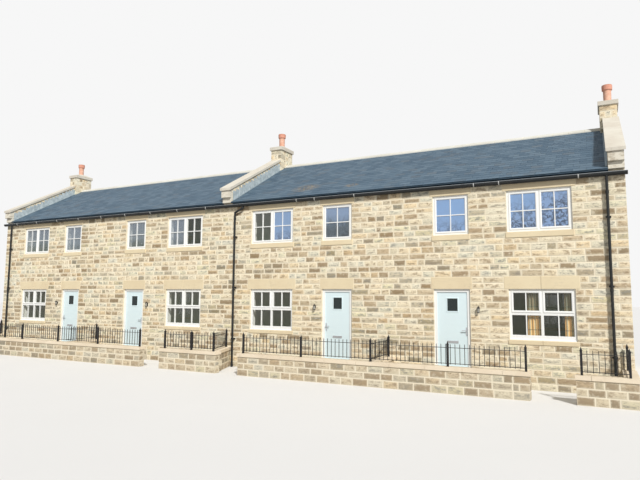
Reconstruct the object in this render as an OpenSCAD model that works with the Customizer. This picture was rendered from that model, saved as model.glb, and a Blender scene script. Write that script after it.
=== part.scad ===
// Terraced row of four two-storey stone cottages, in two mirrored pairs.
// X runs along the front from left to right, Y runs from front to back, Z is up, in millimetres.
// Heights are measured from the lowest ground that the row stands on.

/* [Row] */
// Width of one house between party lines
house_w = 5935; // [5900:5:6000]
// Place of the middle gable wall's centre line, off the row's centre
party_x = 70; // [0:10:100]
// Depth from the front wall face to the back wall face
row_d = 7000; // [6400:100:7600]
// Thickness of the stone front and back walls
wall_t = 300; // [260:10:340]
// Thickness of the gable walls that rise through the roof
gable_t = 360; // [320:10:400]
// Height of the door sills and the ground floor above the lowest ground
floor_z = 390; // [340:10:420]
// Underside of the ground floor window and door lintels
head_z = 2560; // [2500:5:2600]
// Top of the first floor slab
upper_floor_z = 3170; // [3100:10:3300]

/* [Windows] */
// Width of the two-light window openings
win_w = 1600; // [1400:20:1700]
// Height of the ground floor window openings
gwin_h = 1315; // [1205:10:1345]
// Height of the first floor window openings
uwin_h = 1115; // [1000:5:1120]
// Height of the first floor sills' top above the ground
usill_z = 4065; // [4060:5:4075]
// Distance from a pair's centre line to its outer and inner windows
win_off = 4090; // [4060:10:4120]
// Visible width of the outer frame members
frame_m = 55; // [45:5:60]
// Visible width of the sash members
sash_m = 50; // [40:5:60]

/* [Doors] */
// Width of the door openings and of the small windows over them
door_w = 1000; // [940:10:1040]
// Distance from a pair's centre line to its two doors
door_off = 1755; // [1740:5:1790]
// Thickness of a door leaf
leaf_t = 46; // [40:2:50]
// Gap around a closed door leaf
leaf_gap = 6; // [5:1:8]

/* [Roof] */
// Pitch of the slates in degrees
pitch = 29; // [27:0.5:31]
// Height of the slates above the front wall face
slate_z = 5575; // [5560:5:5600]
// Upright thickness of the slates, battens and rafters together
roof_t = 150; // [130:10:160]
// How far the slates reach past the wall face
eaves = 90; // [80:5:100]
// Height of the gable copings' top above the slates at the front wall face
coping_rise = 553; // [533:5:573]
// Pitch of the gable copings in degrees
coping_pitch = 27.8; // [27:0.2:29]
// Upright thickness of the gable copings
coping_t = 90; // [70:5:100]
// Width of the gable copings
coping_w = 440; // [420:10:460]

/* [Chimneys] */
// Width of a stack along the front
stack_w = 460; // [460:10:520]
// Depth of a stack from front to back
stack_d = 860; // [760:20:900]
// Height of the stacks' top
stack_z = 8140; // [8100:10:8200]
// Overhang of the stone caps
cap_out = 50; // [40:5:70]
// Height of a chimney pot over its bedding mortar
pot_h = 530; // [450:10:600]

/* [Front gardens] */
// Distance from the house front to the middle of the garden walls
garden_d = 1500; // [1400:50:1600]
// Thickness of the low garden walls
garden_t = 240; // [200:10:260]
// Height of the flat coping's top on the garden walls
garden_z = 640; // [600:10:700]
// Height of the railings over that coping
rail_h = 575; // [505:10:635]
// Spacing of the upright bars
bar_gap = 116; // [100:2:140]

/* [Hidden] */
$fn = 32;
e = 40;
tanp = tan(pitch);
gsill_z = head_z - gwin_h;
uhead_z = usill_z + uwin_h;
lintel_h = 325;
ulintel_h = 215;
gsill_h = 110;
usill_h = 150;
sill_out = 26;
ground_t = 150;
slate_t = 30;
bed = 1;
coping_bed = 0.1;
proud = 12;
upper_t = 220;
reveal = 40;
frame_d = 70;
mull = 51;
transom = 62;
transom_z = 646;
foot = 62;
door_m = 66;
gutter_r = 62;
gutter_t = 4;
gutter_side = 30;
gutter_y = -30 - gutter_r;
gutter_z = slate_z - 145;
pipe_r = 34;
elbow_r = 37;
outlet_z = gutter_z - gutter_side - gutter_r - 10;
swan_x = 435;
swan_out_x = 750;
swan_low = 180;
swan_top = 45;
garden_out = garden_d + garden_t / 2 + 30;
back_out = 200;
front_y = (garden_out - row_d - back_out) / 2;
mid_y = row_d / 2;
gable_x = [-2 * house_w, party_x, 2 * house_w];
door_mid = [-5980, 5985];
win_mid = [-5920, 5955];
door_x = [for (m = door_mid, s = [-1, 1]) m + s * door_off];
win_x = [for (m = win_mid, s = [-1, 1]) m + s * win_off];
hinge_side = [1, -1, 1, -1];
leaf_w = door_w - 2 * door_m - 2 * leaf_gap;
leaf_z0 = floor_z + 38;
leaf_z1 = head_z - door_m - leaf_gap;
leaf_y = reveal + 26;
hinge_y = leaf_y + leaf_t + 8;
outer_x = 2 * house_w - gable_t / 2;
end_x = 2 * house_w + gable_t / 2;
bays = [[-outer_x, party_x - gable_t / 2], [party_x + gable_t / 2, outer_x]];
outlet_x = [-outer_x + 45, swan_out_x, outer_x - 45];
half_door = door_w / 2;
front_runs = [
    [-outer_x, door_x[0] - half_door], [door_x[0] + half_door, door_x[1] - half_door],
    [door_x[1] + half_door, bays[0][1]], [bays[1][0], door_x[2] - half_door],
    [door_x[2] + half_door, door_x[3] - half_door], [door_x[3] + half_door, outer_x]];
stone = [0.78, 0.68, 0.52];
dressed = [0.86, 0.76, 0.60];
slate = [0.30, 0.34, 0.40];
white = [0.93, 0.93, 0.92];
black = [0.06, 0.06, 0.07];

function slate_at(y) = slate_z + min(y, row_d - y) * tanp;
function soffit_at(y) = slate_at(y) - roof_t;
function parapet_at(y) = slate_z + coping_rise - coping_t + min(y, row_d - y) * tan(coping_pitch);

// A block given by its low and high corners
module block(x0, x1, y0, y1, z0, z1) {
    translate([x0, y0, z0])
        cube([x1 - x0, y1 - y0, z1 - z0]);
}

// Puts children that are drawn with the front wall face at y = 0 in the row's frame
module on_front() {
    translate([0, front_y, 0])
        children();
}

// The same for the back wall, mirrored front to back
module on_back() {
    translate([0, front_y + row_d, 0])
        mirror([0, 1, 0])
            children();
}

// A profile drawn in (y, z), stretched along x from x0 to x1
module prism_x(x0, x1, pts) {
    translate([x0, 0, 0])
        rotate([90, 0, 90])
            linear_extrude(x1 - x0)
                polygon(pts);
}

// Walls

module wall_run(x0, x1) {
    prism_x(x0, x1, [[0, 0], [wall_t, 0], [wall_t, soffit_at(wall_t) - bed], [0, soffit_at(0) - bed]]);
}

module opening_cut(x, w, z0, z1, lw, lh, sw, sh) {
    block(x - w / 2, x + w / 2, -e, wall_t + e, z0, z1);
    block(x - w / 2 - lw, x + w / 2 + lw, -e, wall_t + e, z1 - 0.01, z1 + lh);
    block(x - w / 2 - sw, x + w / 2 + sw, -e, wall_t + e, z0 - sh, z0 + 0.01);
}

module window_cuts(x) {
    opening_cut(x, win_w, gsill_z, head_z, 105, lintel_h, 30, gsill_h);
    opening_cut(x, win_w, usill_z, uhead_z, 90, ulintel_h, 30, usill_h);
}

module door_cuts(x) {
    block(x - door_w / 2 - 60, x + door_w / 2 + 60, -e, wall_t + e, head_z, head_z + lintel_h);
    block(x - door_w / 2 - 30, x + door_w / 2 + 30, -e, wall_t + e, usill_z - usill_h, usill_z);
    block(x - door_w / 2 - 75, x + door_w / 2 + 75, -e, wall_t + e, uhead_z, uhead_z + ulintel_h);
}

// The front wall between the gable walls and the doorways
module front_wall_piece(i) {
    x0 = front_runs[i][0];
    x1 = front_runs[i][1];
    color(stone)
        on_front()
            difference() {
                wall_run(x0, x1);
                for (x = win_x) {
                    if (x > x0 && x < x1) {
                        window_cuts(x);
                    }
                }
                for (x = door_x) {
                    door_cuts(x);
                }
            }
}

module front_wall_over_doors() {
    color(stone)
        on_front()
            for (x = door_x) {
                block(x - door_w / 2, x + door_w / 2, 0, wall_t, head_z + lintel_h, usill_z - usill_h);
                prism_x(x - door_w / 2, x + door_w / 2,
                    [[0, uhead_z + ulintel_h], [wall_t, uhead_z + ulintel_h],
                     [wall_t, soffit_at(wall_t) - bed], [0, soffit_at(0) - bed]]);
            }
}

module back_wall() {
    color(stone)
        on_back()
            difference() {
                for (b = bays) {
                    wall_run(b[0], b[1]);
                }
                for (x = win_x) {
                    window_cuts(x);
                }
                for (x = door_x) {
                    opening_cut(x, door_w, gsill_z, head_z, 60, lintel_h, 30, gsill_h);
                    opening_cut(x, door_w, usill_z, uhead_z, 75, ulintel_h, 30, usill_h);
                }
            }
}

module gable_wall(x) {
    color(stone)
        on_front()
            prism_x(x - gable_t / 2, x + gable_t / 2,
                [[0, 0], [row_d, 0], [row_d, parapet_at(row_d)],
                 [mid_y, parapet_at(mid_y)], [0, parapet_at(0)]]);
}

// Floors

module floor_pair(z0, z1) {
    for (b = bays) {
        block(b[0], b[1], wall_t, row_d - wall_t, z0, z1);
    }
}

module ground_floor() {
    color([0.55, 0.53, 0.50])
        on_front()
            floor_pair(floor_z - ground_t, floor_z);
}

module first_floor() {
    color([0.62, 0.50, 0.36])
        on_front()
            floor_pair(upper_floor_z - upper_t, upper_floor_z);
}

// Roof

// One slope: full thickness over the walls, and only slates past the wall face
module roof_slope() {
    for (b = bays) {
        prism_x(b[0], b[1],
            [[-eaves, slate_at(-eaves)], [mid_y, slate_at(mid_y)], [mid_y, soffit_at(mid_y)],
             [0, soffit_at(0)], [0, slate_at(0) - slate_t], [-eaves, slate_at(-eaves) - slate_t]]);
    }
}

module roof_front() {
    color(slate)
        on_front()
            roof_slope();
}

module roof_back() {
    color(slate)
        on_back()
            roof_slope();
}

module ridge_tiles() {
    z = slate_at(mid_y);
    color(dressed)
        on_front()
            for (s = [[-end_x + stack_w, party_x - stack_w / 2], [party_x + stack_w / 2, end_x - stack_w]]) {
                prism_x(s[0], s[1],
                    [[mid_y - 150, z - 150 * tanp], [mid_y, z], [mid_y + 150, z - 150 * tanp],
                     [mid_y + 150, z - 150 * tanp + 50], [mid_y, z + 66],
                     [mid_y - 150, z - 150 * tanp + 50]]);
            }
}

module rake(x) {
    y1 = mid_y - stack_d / 2;
    prism_x(x - coping_w / 2, x + coping_w / 2,
        [[-200, parapet_at(-200) + coping_bed], [y1, parapet_at(y1) + coping_bed],
         [y1, parapet_at(y1) + coping_t], [-200, parapet_at(-200) + coping_t]]);
    prism_x(x - gable_t / 2, x + gable_t / 2,
        [[-160, 5700], [-150, 5690], [-80, 5690], [-80, 5520], [-70, 5510], [0, 5510],
         [0, parapet_at(0) + 1], [-160, parapet_at(-160) + 1]]);
}

module gable_copings() {
    color(dressed) {
        on_front()
            for (x = gable_x) {
                rake(x);
            }
        on_back()
            for (x = gable_x) {
                rake(x);
            }
    }
}

// Chimneys

function stack_x(i) = gable_x[i] + (i - 1) * (gable_t - stack_w) / 2;

// A stack between two places along the row; side and crown are its foot's heights
module stack_profile(x0, x1, side, crown) {
    y0 = mid_y - stack_d / 2;
    y1 = mid_y + stack_d / 2;
    prism_x(x0, x1, [[y0, side], [mid_y, crown], [y1, side], [y1, stack_z], [y0, stack_z]]);
}

module chimney_stacks() {
    y0 = mid_y - stack_d / 2;
    color(stone)
        on_front()
            for (i = [0:2]) {
                x0 = stack_x(i) - stack_w / 2;
                x1 = stack_x(i) + stack_w / 2;
                g0 = gable_x[i] - gable_t / 2;
                g1 = gable_x[i] + gable_t / 2;
                stack_profile(max(x0, g0), min(x1, g1), parapet_at(y0), parapet_at(mid_y));
                if (x0 < g0) {
                    stack_profile(x0, g0, slate_at(y0), slate_at(mid_y));
                }
                if (x1 > g1) {
                    stack_profile(g1, x1, slate_at(y0), slate_at(mid_y));
                }
            }
}

// A cap slab whose top rises from all four sides to the pot's seat
module cap_stone() {
    a = stack_w / 2 + cap_out;
    b = stack_d / 2 + cap_out;
    intersection() {
        prism_x(-a, a, [[-b, 0], [b, 0], [b, 130], [170, 220], [-170, 220], [-b, 130]]);
        rotate([0, 0, -90])
            prism_x(-b, b, [[-a, 0], [a, 0], [a, 130], [150, 220], [-150, 220], [-a, 130]]);
    }
}

module chimney_caps() {
    color(dressed)
        on_front()
            for (i = [0:2]) {
                translate([stack_x(i), mid_y, stack_z])
                    cap_stone();
            }
}

module chimney_pots() {
    color([0.78, 0.40, 0.24])
        on_front()
            for (i = [0:2]) {
                translate([stack_x(i), mid_y, stack_z + 220])
                    rotate_extrude()
                        polygon([[88, 0], [110, 0], [115, pot_h - 190], [127, pot_h - 168],
                                 [146, pot_h - 155], [150, pot_h - 22], [141, pot_h], [114, pot_h],
                                 [102, pot_h - 170]]);
            }
}

// Rainwater goods

// Outline of a trough with straight sides over a round bottom
function trough(r, side) = concat(
    [[-r, side]], [for (k = [0:12]) [-r * cos(15 * k), -r * sin(15 * k)]], [[r, side]]);

module gutter_run() {
    x1 = end_x + 60;
    zc = gutter_z - gutter_side;
    bracket_z = max(gutter_z - 45, uhead_z + ulintel_h + bed);
    difference() {
        union() {
            translate([0, gutter_y, zc])
                prism_x(-x1, x1, trough(gutter_r, gutter_side));
            for (x = outlet_x) {
                translate([x, gutter_y, outlet_z])
                    cylinder(r = pipe_r + 6, h = zc - outlet_z);
            }
        }
        translate([0, gutter_y, zc])
            prism_x(-x1 + gutter_t, x1 - gutter_t, trough(gutter_r - gutter_t, gutter_side + e));
    }
    for (i = [-12:12]) {
        block(i * 965 - 15, i * 965 + 15, -32, 0, bracket_z, gutter_z - 3);
    }
}

module gutters() {
    color(black) {
        on_front()
            gutter_run();
        on_back()
            gutter_run();
    }
}

module pipe_between(a, b, r) {
    d = b - a;
    len = norm(d);
    translate(a)
        rotate([0, acos(d[2] / len), atan2(d[1], d[0])])
            cylinder(r = r, h = len);
}

module pipe_clips(x, y) {
    for (z = [900, 2600, 4300]) {
        block(x - 62, x + 62, y, 0, z, z + 40);
        translate([x, y, z])
            cylinder(r = 42, h = 40);
    }
}

module straight_pipe(x) {
    translate([x, gutter_y, 0])
        cylinder(r = pipe_r, h = outlet_z);
    pipe_clips(x, gutter_y);
}

module swan_pipe(x, x_out) {
    y = gutter_y;
    z1 = outlet_z;
    translate([x, y, 0])
        cylinder(r = pipe_r, h = z1 - swan_low);
    translate([x, y, z1 - swan_low])
        sphere(r = elbow_r);
    pipe_between([x, y, z1 - swan_low], [x_out, y, z1 - swan_top], pipe_r);
    translate([x_out, y, z1 - swan_top])
        sphere(r = elbow_r);
    translate([x_out, y, z1 - swan_top])
        cylinder(r = pipe_r, h = swan_top);
    pipe_clips(x, y);
}

module pipe_set() {
    straight_pipe(outlet_x[0]);
    swan_pipe(swan_x, swan_out_x);
    straight_pipe(outlet_x[2]);
}

module downpipes() {
    color(black) {
        on_front()
            pipe_set();
        on_back()
            pipe_set();
    }
}

// Lintels and sills

// Lintels stand out from the pointing as far as the stones do
module split_lintel(x, w, z) {
    block(x - w / 2 - 105, x - 3, -proud, wall_t, z, z + lintel_h);
    block(x + 3, x + w / 2 + 105, -proud, wall_t, z, z + lintel_h);
}

module lintel_set() {
    for (x = win_x) {
        split_lintel(x, win_w, head_z);
        block(x - win_w / 2 - 90, x + win_w / 2 + 90, -proud, wall_t, uhead_z, uhead_z + ulintel_h);
    }
    for (x = door_x) {
        block(x - door_w / 2 - 60, x + door_w / 2 + 60, -proud, wall_t, head_z, head_z + lintel_h);
        block(x - door_w / 2 - 75, x + door_w / 2 + 75, -proud, wall_t, uhead_z, uhead_z + ulintel_h);
    }
}

module lintels() {
    color(dressed) {
        on_front()
            lintel_set();
        on_back()
            lintel_set();
    }
}

// A stone sill with a weathered front edge
module sill(x, w, z, h) {
    prism_x(x - w / 2 - 30, x + w / 2 + 30,
        [[-sill_out, z - h], [wall_t, z - h], [wall_t, z], [0, z], [-sill_out, z - 8]]);
}

module split_sill(x, w, z, h) {
    prism_x(x - w / 2 - 30, x - 3,
        [[-sill_out, z - h], [wall_t, z - h], [wall_t, z], [0, z], [-sill_out, z - 8]]);
    prism_x(x + 3, x + w / 2 + 30,
        [[-sill_out, z - h], [wall_t, z - h], [wall_t, z], [0, z], [-sill_out, z - 8]]);
}

module sill_set() {
    for (x = win_x) {
        split_sill(x, win_w, gsill_z, gsill_h);
        sill(x, win_w, usill_z, usill_h);
    }
    for (x = door_x) {
        sill(x, door_w, usill_z, usill_h);
    }
}

module window_sills() {
    color(dressed) {
        on_front()
            sill_set();
        on_back() {
            sill_set();
            for (x = door_x) {
                sill(x, door_w, gsill_z, gsill_h);
            }
        }
    }
}

module door_sills() {
    color(dressed)
        on_front()
            for (x = door_x) {
                prism_x(x - door_w / 2, x + door_w / 2,
                    [[0, 0], [wall_t, 0], [wall_t, floor_z], [-60, floor_z], [-60, floor_z - 150],
                     [0, floor_z - 150]]);
            }
}

// Windows, drawn with the opening's lower left corner at (x - w / 2, z)

function light_x(x, w, cols) = cols == 2
    ? [[x - w / 2 + frame_m, x - mull / 2], [x + mull / 2, x + w / 2 - frame_m]]
    : [[x - w / 2 + frame_m, x + w / 2 - frame_m]];

// One opening light: a sash ring that stands 12 mm proud of the frame
module sash(x0, x1, z0, z1) {
    difference() {
        block(x0, x1, reveal - 12, reveal + frame_d - 14, z0, z1);
        block(x0 + sash_m, x1 - sash_m, reveal - e, reveal + frame_d + e, z0 + sash_m, z1 - sash_m);
    }
}

// An upstairs window; all its lights open
module upper_window(x, w, cols) {
    z0 = usill_z + frame_m;
    z1 = uhead_z - frame_m;
    difference() {
        block(x - w / 2, x + w / 2, reveal, reveal + frame_d, usill_z, uhead_z);
        for (a = light_x(x, w, cols)) {
            block(a[0], a[1], reveal - e, reveal + frame_d + e, z0, z1);
        }
    }
    for (a = light_x(x, w, cols)) {
        sash(a[0], a[1], z0, z1);
    }
}

// A downstairs window; its low lights are glazed straight into the frame
module ground_window(x, w, cols) {
    zt = gsill_z + transom_z + transom;
    z1 = head_z - frame_m;
    difference() {
        block(x - w / 2, x + w / 2, reveal, reveal + frame_d, gsill_z, head_z);
        for (a = light_x(x, w, cols)) {
            block(a[0], a[1], reveal - e, reveal + frame_d + e, gsill_z + foot + frame_m,
                gsill_z + transom_z);
            block(a[0], a[1], reveal - e, reveal + frame_d + e, zt, z1);
        }
    }
    block(x - w / 2, x + w / 2, reveal - 25, reveal + 1, gsill_z, gsill_z + 22);
    for (a = light_x(x, w, cols)) {
        sash(a[0], a[1], zt, z1);
    }
}

module pane(x0, x1, z0, z1) {
    block(x0, x1, reveal + 10, reveal + 34, z0, z1);
}

module upper_glass(x, w, cols) {
    m = frame_m + sash_m;
    for (a = light_x(x, w, cols)) {
        pane(a[0] + sash_m, a[1] - sash_m, usill_z + m, uhead_z - m);
    }
}

module ground_glass(x, w, cols) {
    zt = gsill_z + transom_z;
    for (a = light_x(x, w, cols)) {
        pane(a[0], a[1], gsill_z + foot + frame_m, zt);
        pane(a[0] + sash_m, a[1] - sash_m, zt + transom + sash_m, head_z - frame_m - sash_m);
    }
}

module frame_set() {
    for (x = win_x) {
        ground_window(x, win_w, 2);
        upper_window(x, win_w, 2);
    }
    for (x = door_x) {
        upper_window(x, door_w, 1);
    }
}

module glass_set() {
    for (x = win_x) {
        ground_glass(x, win_w, 2);
        upper_glass(x, win_w, 2);
    }
    for (x = door_x) {
        upper_glass(x, door_w, 1);
    }
}

module window_frames() {
    color(white) {
        on_front()
            frame_set();
        on_back() {
            frame_set();
            for (x = door_x) {
                ground_window(x, door_w, 1);
            }
        }
    }
}

module window_glass() {
    color([0.35, 0.42, 0.46, 0.4]) {
        on_front()
            glass_set();
        on_back() {
            glass_set();
            for (x = door_x) {
                ground_glass(x, door_w, 1);
            }
        }
    }
}

// Two gathered curtains that hang from the lintel behind the right-hand ground floor window
module curtains() {
    color([0.85, 0.66, 0.36])
        on_front()
            for (c = [[-365, -45], [520, 715]]) {
                block(win_x[3] + c[0], win_x[3] + c[1], 125, 170, gsill_z + 20, head_z);
            }
}

// Doors

// Frames with a stop round the leaf and three hinge pins on the room side
module door_frames() {
    color(white) {
        on_front()
            for (x = door_x) {
                difference() {
                    block(x - door_w / 2, x + door_w / 2, reveal, reveal + 85, floor_z, head_z);
                    block(x - door_w / 2 + door_m, x + door_w / 2 - door_m, reveal - e, reveal + 85 + e,
                        floor_z + 30, head_z - door_m);
                }
                difference() {
                    block(x - door_w / 2 + 50, x + door_w / 2 - 50, reveal, reveal + 20,
                        floor_z + 25, head_z - 50);
                    block(x - door_w / 2 + 84, x + door_w / 2 - 84, reveal - e, reveal + e,
                        floor_z + 25 - e, head_z - 84);
                }
            }
        on_front()
            for (i = [0:3], z = [620, 1400, 2180]) {
                translate([door_x[i] + hinge_side[i] * (leaf_w / 2 + leaf_gap / 2), hinge_y, z])
                    cylinder(r = 6, h = 110);
            }
    }
}

module vision_cut(x) {
    block(x - 145, x + 145, leaf_y - e, leaf_y + leaf_t + e, 1950, 2300);
}

module door_leaf(i) {
    x = door_x[i];
    color([0.72, 0.78, 0.82])
        on_front() {
            difference() {
                block(x - leaf_w / 2, x + leaf_w / 2, leaf_y, leaf_y + leaf_t, leaf_z0, leaf_z1);
                vision_cut(x);
            }
        }
}

module door_glass(i) {
    x = door_x[i];
    color([0.16, 0.18, 0.20, 0.6])
        on_front()
            block(x - 145, x + 145, leaf_y + 11, leaf_y + 35, 1950, 2300);
}

// Lever handle on both faces and the low letter plate
module door_handle(i) {
    s = hinge_side[i];
    x = door_x[i];
    hx = x - s * (leaf_w / 2 - 52);
    color([0.75, 0.76, 0.78])
        on_front() {
            block(hx - 17, hx + 17, leaf_y - 8, leaf_y, 1290, 1520);
            block(hx - 17, hx + 17, leaf_y + leaf_t, leaf_y + leaf_t + 8, 1290, 1520);
            translate([hx, leaf_y - 48, 1430])
                rotate([-90, 0, 0])
                    cylinder(r = 9, h = 41);
            translate([hx, leaf_y + leaf_t + 7, 1430])
                rotate([-90, 0, 0])
                    cylinder(r = 9, h = 41);
            block(min(hx - s * 10, hx + s * 120), max(hx - s * 10, hx + s * 120),
                leaf_y - 56, leaf_y - 42, 1420, 1440);
            block(min(hx - s * 10, hx + s * 120), max(hx - s * 10, hx + s * 120),
                leaf_y + leaf_t + 42, leaf_y + leaf_t + 56, 1420, 1440);
            block(x - 155, x + 155, leaf_y - 10, leaf_y, 1085, 1150);
        }
}

// A carriage lantern beside each door: back plate, arm, body and roof
module lantern(x) {
    block(x - 24, x + 24, -10, 0, 1935, 2055);
    block(x - 7, x + 7, -75, -5, 2030, 2044);
    translate([x, -75, 1920])
        cylinder(r1 = 27, r2 = 42, h = 125);
    translate([x, -75, 2045])
        cylinder(r1 = 50, r2 = 13, h = 42);
    translate([x, -75, 2087])
        cylinder(r = 8, h = 23);
}

module wall_lanterns() {
    color(black)
        on_front()
            for (i = [0:3]) {
                lantern(door_x[i] - hinge_side[i] * 730);
            }
}

// Front gardens

left_runs = [[-end_x, -10880], [-9960, -2200]];
right_runs = [[1770, 9880], [10850, end_x]];
return_x = [-5980, 5940];
slant_x = [170, 770];
slant = atan((slant_x[1] - slant_x[0]) / garden_d);
post_x = end_x - 150;
gy0 = -garden_d - garden_t / 2;
gy1 = -garden_d + garden_t / 2;

// A low wall along the front; over widens it for the coping
module garden_run(s, over) {
    block(s[0] - over, s[1] + over, gy0 - over, gy1 + over, 0, garden_z);
}

// The middle wall's return runs slantwise to the party line
module slant_plan(over) {
    half = garden_t / 2 + over;
    polygon([[slant_x[1] - half, -garden_d], [slant_x[1] + half, -garden_d],
             [slant_x[0] + half, 0], [slant_x[0] - half, 0]]);
}

module left_plan(over) {
    for (s = left_runs) {
        garden_run(s, over);
    }
    block(-end_x - over, -end_x + garden_t + over, gy0, 0, 0, garden_z);
    block(return_x[0] - garden_t / 2 - over, return_x[0] + garden_t / 2 + over, gy0, 0, 0, garden_z);
}

module right_plan(over) {
    for (s = right_runs) {
        garden_run(s, over);
    }
    block(end_x - garden_t - over, end_x + over, gy0, 0, 0, garden_z);
    block(return_x[1] - garden_t / 2 - over, return_x[1] + garden_t / 2 + over, gy0, 0, 0, garden_z);
}

module middle_plan(over) {
    garden_run([-1310, 920], over);
    linear_extrude(garden_z)
        slant_plan(over);
}

module below_coping() {
    block(-end_x - e, end_x + e, gy0 - e, e, -e, garden_z - 90);
}

module in_coping() {
    block(-end_x - e, end_x + e, gy0 - e, 0, garden_z - 90, garden_z + e);
}

module garden_wall(part) {
    color(stone)
        on_front()
            intersection() {
                below_coping();
                if (part == 0) {
                    left_plan(0);
                } else if (part == 1) {
                    middle_plan(0);
                } else {
                    right_plan(0);
                }
            }
}

module garden_copings() {
    color(dressed)
        on_front()
            intersection() {
                in_coping();
                union() {
                    left_plan(30);
                    middle_plan(30);
                    right_plan(30);
                }
            }
}

module post(x) {
    translate([x - 25, -25, 0])
        cube([50, 50, rail_h - 20]);
    translate([x - 32, -32, rail_h - 40])
        cube([64, 64, 14]);
    translate([x, 0, rail_h - 21])
        cylinder(r1 = 24, r2 = 5, h = 61);
}

// Railings along x from the first to the last post, standing on z = 0
module railing(posts, x0, x1) {
    n = round((x1 - x0) / bar_gap);
    for (x = posts) {
        post(x);
    }
    block(x0, x1, -16, 16, rail_h - 120, rail_h - 108);
    block(x0, x1, -16, 16, 72, 84);
    for (i = [1:n - 1]) {
        x = x0 + (x1 - x0) * i / n;
        if (min([for (p = posts) abs(p - x)]) > 45) {
            block(x - 6.5, x + 6.5, -6.5, 6.5, 55, rail_h - 45);
        }
    }
}

module on_coping(x, y, a) {
    translate([x, y, garden_z])
        rotate([0, 0, a])
            children();
}

module return_railing(x, a, len) {
    on_coping(x, -garden_d, a)
        railing([len], 42, len);
}

module railings(part) {
    color(black)
        on_front() {
            if (part == 0) {
                on_coping(0, -garden_d, 0) {
                    railing([-post_x, -11000], -post_x, -11000);
                    railing([-9870, -8400, -6360, -4285, -2295], -9870, -2295);
                }
                return_railing(-post_x, 90, garden_d - 120);
                return_railing(return_x[0], 90, garden_d - 120);
            } else if (part == 1) {
                on_coping(0, -garden_d, 0)
                    railing([-1195, -95, slant_x[1]], -1195, slant_x[1]);
                return_railing(slant_x[1], 90 + slant, (garden_d - 120) / cos(slant));
            } else {
                on_coping(0, -garden_d, 0) {
                    railing([10960, post_x], 10960, post_x);
                    railing([1880, 3840, return_x[1], 7985, 9800], 1880, 9800);
                }
                return_railing(post_x, 90, garden_d - 120);
                return_railing(return_x[1], 90, garden_d - 120);
            }
        }
}

// Nodes

front_wall_piece(0);  // front_wall_1
front_wall_piece(1);  // front_wall_2
front_wall_piece(2);  // front_wall_3
front_wall_piece(3);  // front_wall_4
front_wall_piece(4);  // front_wall_5
front_wall_piece(5);  // front_wall_6
front_wall_over_doors();
back_wall();
gable_wall(gable_x[0]);  // gable_wall_left
gable_wall(gable_x[1]);  // party_wall_middle
gable_wall(gable_x[2]);  // gable_wall_right
ground_floor();
first_floor();
roof_front();
roof_back();
ridge_tiles();
gable_copings();
chimney_stacks();
chimney_caps();
chimney_pots();
gutters();
downpipes();
lintels();
window_sills();
door_sills();
window_frames();
window_glass();
curtains();
door_frames();
door_leaf(0);  // door_1
door_leaf(1);  // door_2
door_leaf(2);  // door_3
door_leaf(3);  // door_4
door_glass(0);  // door_glass_1
door_glass(1);  // door_glass_2
door_glass(2);  // door_glass_3
door_glass(3);  // door_glass_4
door_handle(0);  // door_handle_1
door_handle(1);  // door_handle_2
door_handle(2);  // door_handle_3
door_handle(3);  // door_handle_4
wall_lanterns();
garden_wall(0);  // garden_wall_left
garden_wall(1);  // garden_wall_middle
garden_wall(2);  // garden_wall_right
garden_copings();
railings(0);  // railings_left
railings(1);  // railings_middle
railings(2);  // railings_right
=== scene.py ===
"""Looks of a row of four stone cottages, built around the row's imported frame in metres."""

import logging
import math
from dataclasses import dataclass, field
from enum import Enum

import bmesh
import bpy
import numpy as np
from mathutils import Matrix, Vector


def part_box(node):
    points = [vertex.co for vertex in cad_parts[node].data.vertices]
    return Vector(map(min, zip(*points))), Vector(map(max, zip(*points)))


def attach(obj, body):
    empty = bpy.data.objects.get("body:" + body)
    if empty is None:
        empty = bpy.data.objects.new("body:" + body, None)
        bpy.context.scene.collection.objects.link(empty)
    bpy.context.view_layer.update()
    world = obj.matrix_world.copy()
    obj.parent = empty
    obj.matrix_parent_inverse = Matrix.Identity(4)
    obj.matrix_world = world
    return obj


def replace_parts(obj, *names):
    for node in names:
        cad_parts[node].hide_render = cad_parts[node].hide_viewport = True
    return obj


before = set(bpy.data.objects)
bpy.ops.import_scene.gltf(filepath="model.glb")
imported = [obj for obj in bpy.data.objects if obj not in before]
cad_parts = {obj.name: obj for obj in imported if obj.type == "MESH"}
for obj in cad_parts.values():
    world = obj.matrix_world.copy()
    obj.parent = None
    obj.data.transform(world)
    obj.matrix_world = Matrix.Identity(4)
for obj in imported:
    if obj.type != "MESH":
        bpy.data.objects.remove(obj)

LOG = logging.getLogger("row")
ROOT_BODY = "row"

# Roof slope, roof slab and the middle of each pair of houses
PITCH = math.radians(29)
FALL = math.tan(PITCH)
ROOF_THICK = 0.15
PAIR_LINE = 5.98

# Where a stone block's rim lies in its own coordinates, along and up
RIM_U = 0.3
RIM_V = 0.25

# Numbers that each window pane carries for its glass: the strength of its painted sky reflection, the
# heights of its painted hedge band and painted bough lines, and its clearness
PANE_NUMBERS = ("shine", "band", "lines", "clear")

Material = bpy.types.Material
Mesh = bpy.types.Mesh
Box = tuple[Vector, Vector]
Rect = tuple[float, float, float, float]  # x0, x1, z0, z1
Pair = tuple[float, float]
Triple = tuple[float, float, float]
Stops = tuple[tuple[float, Triple], ...]


# Frame helpers

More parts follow.
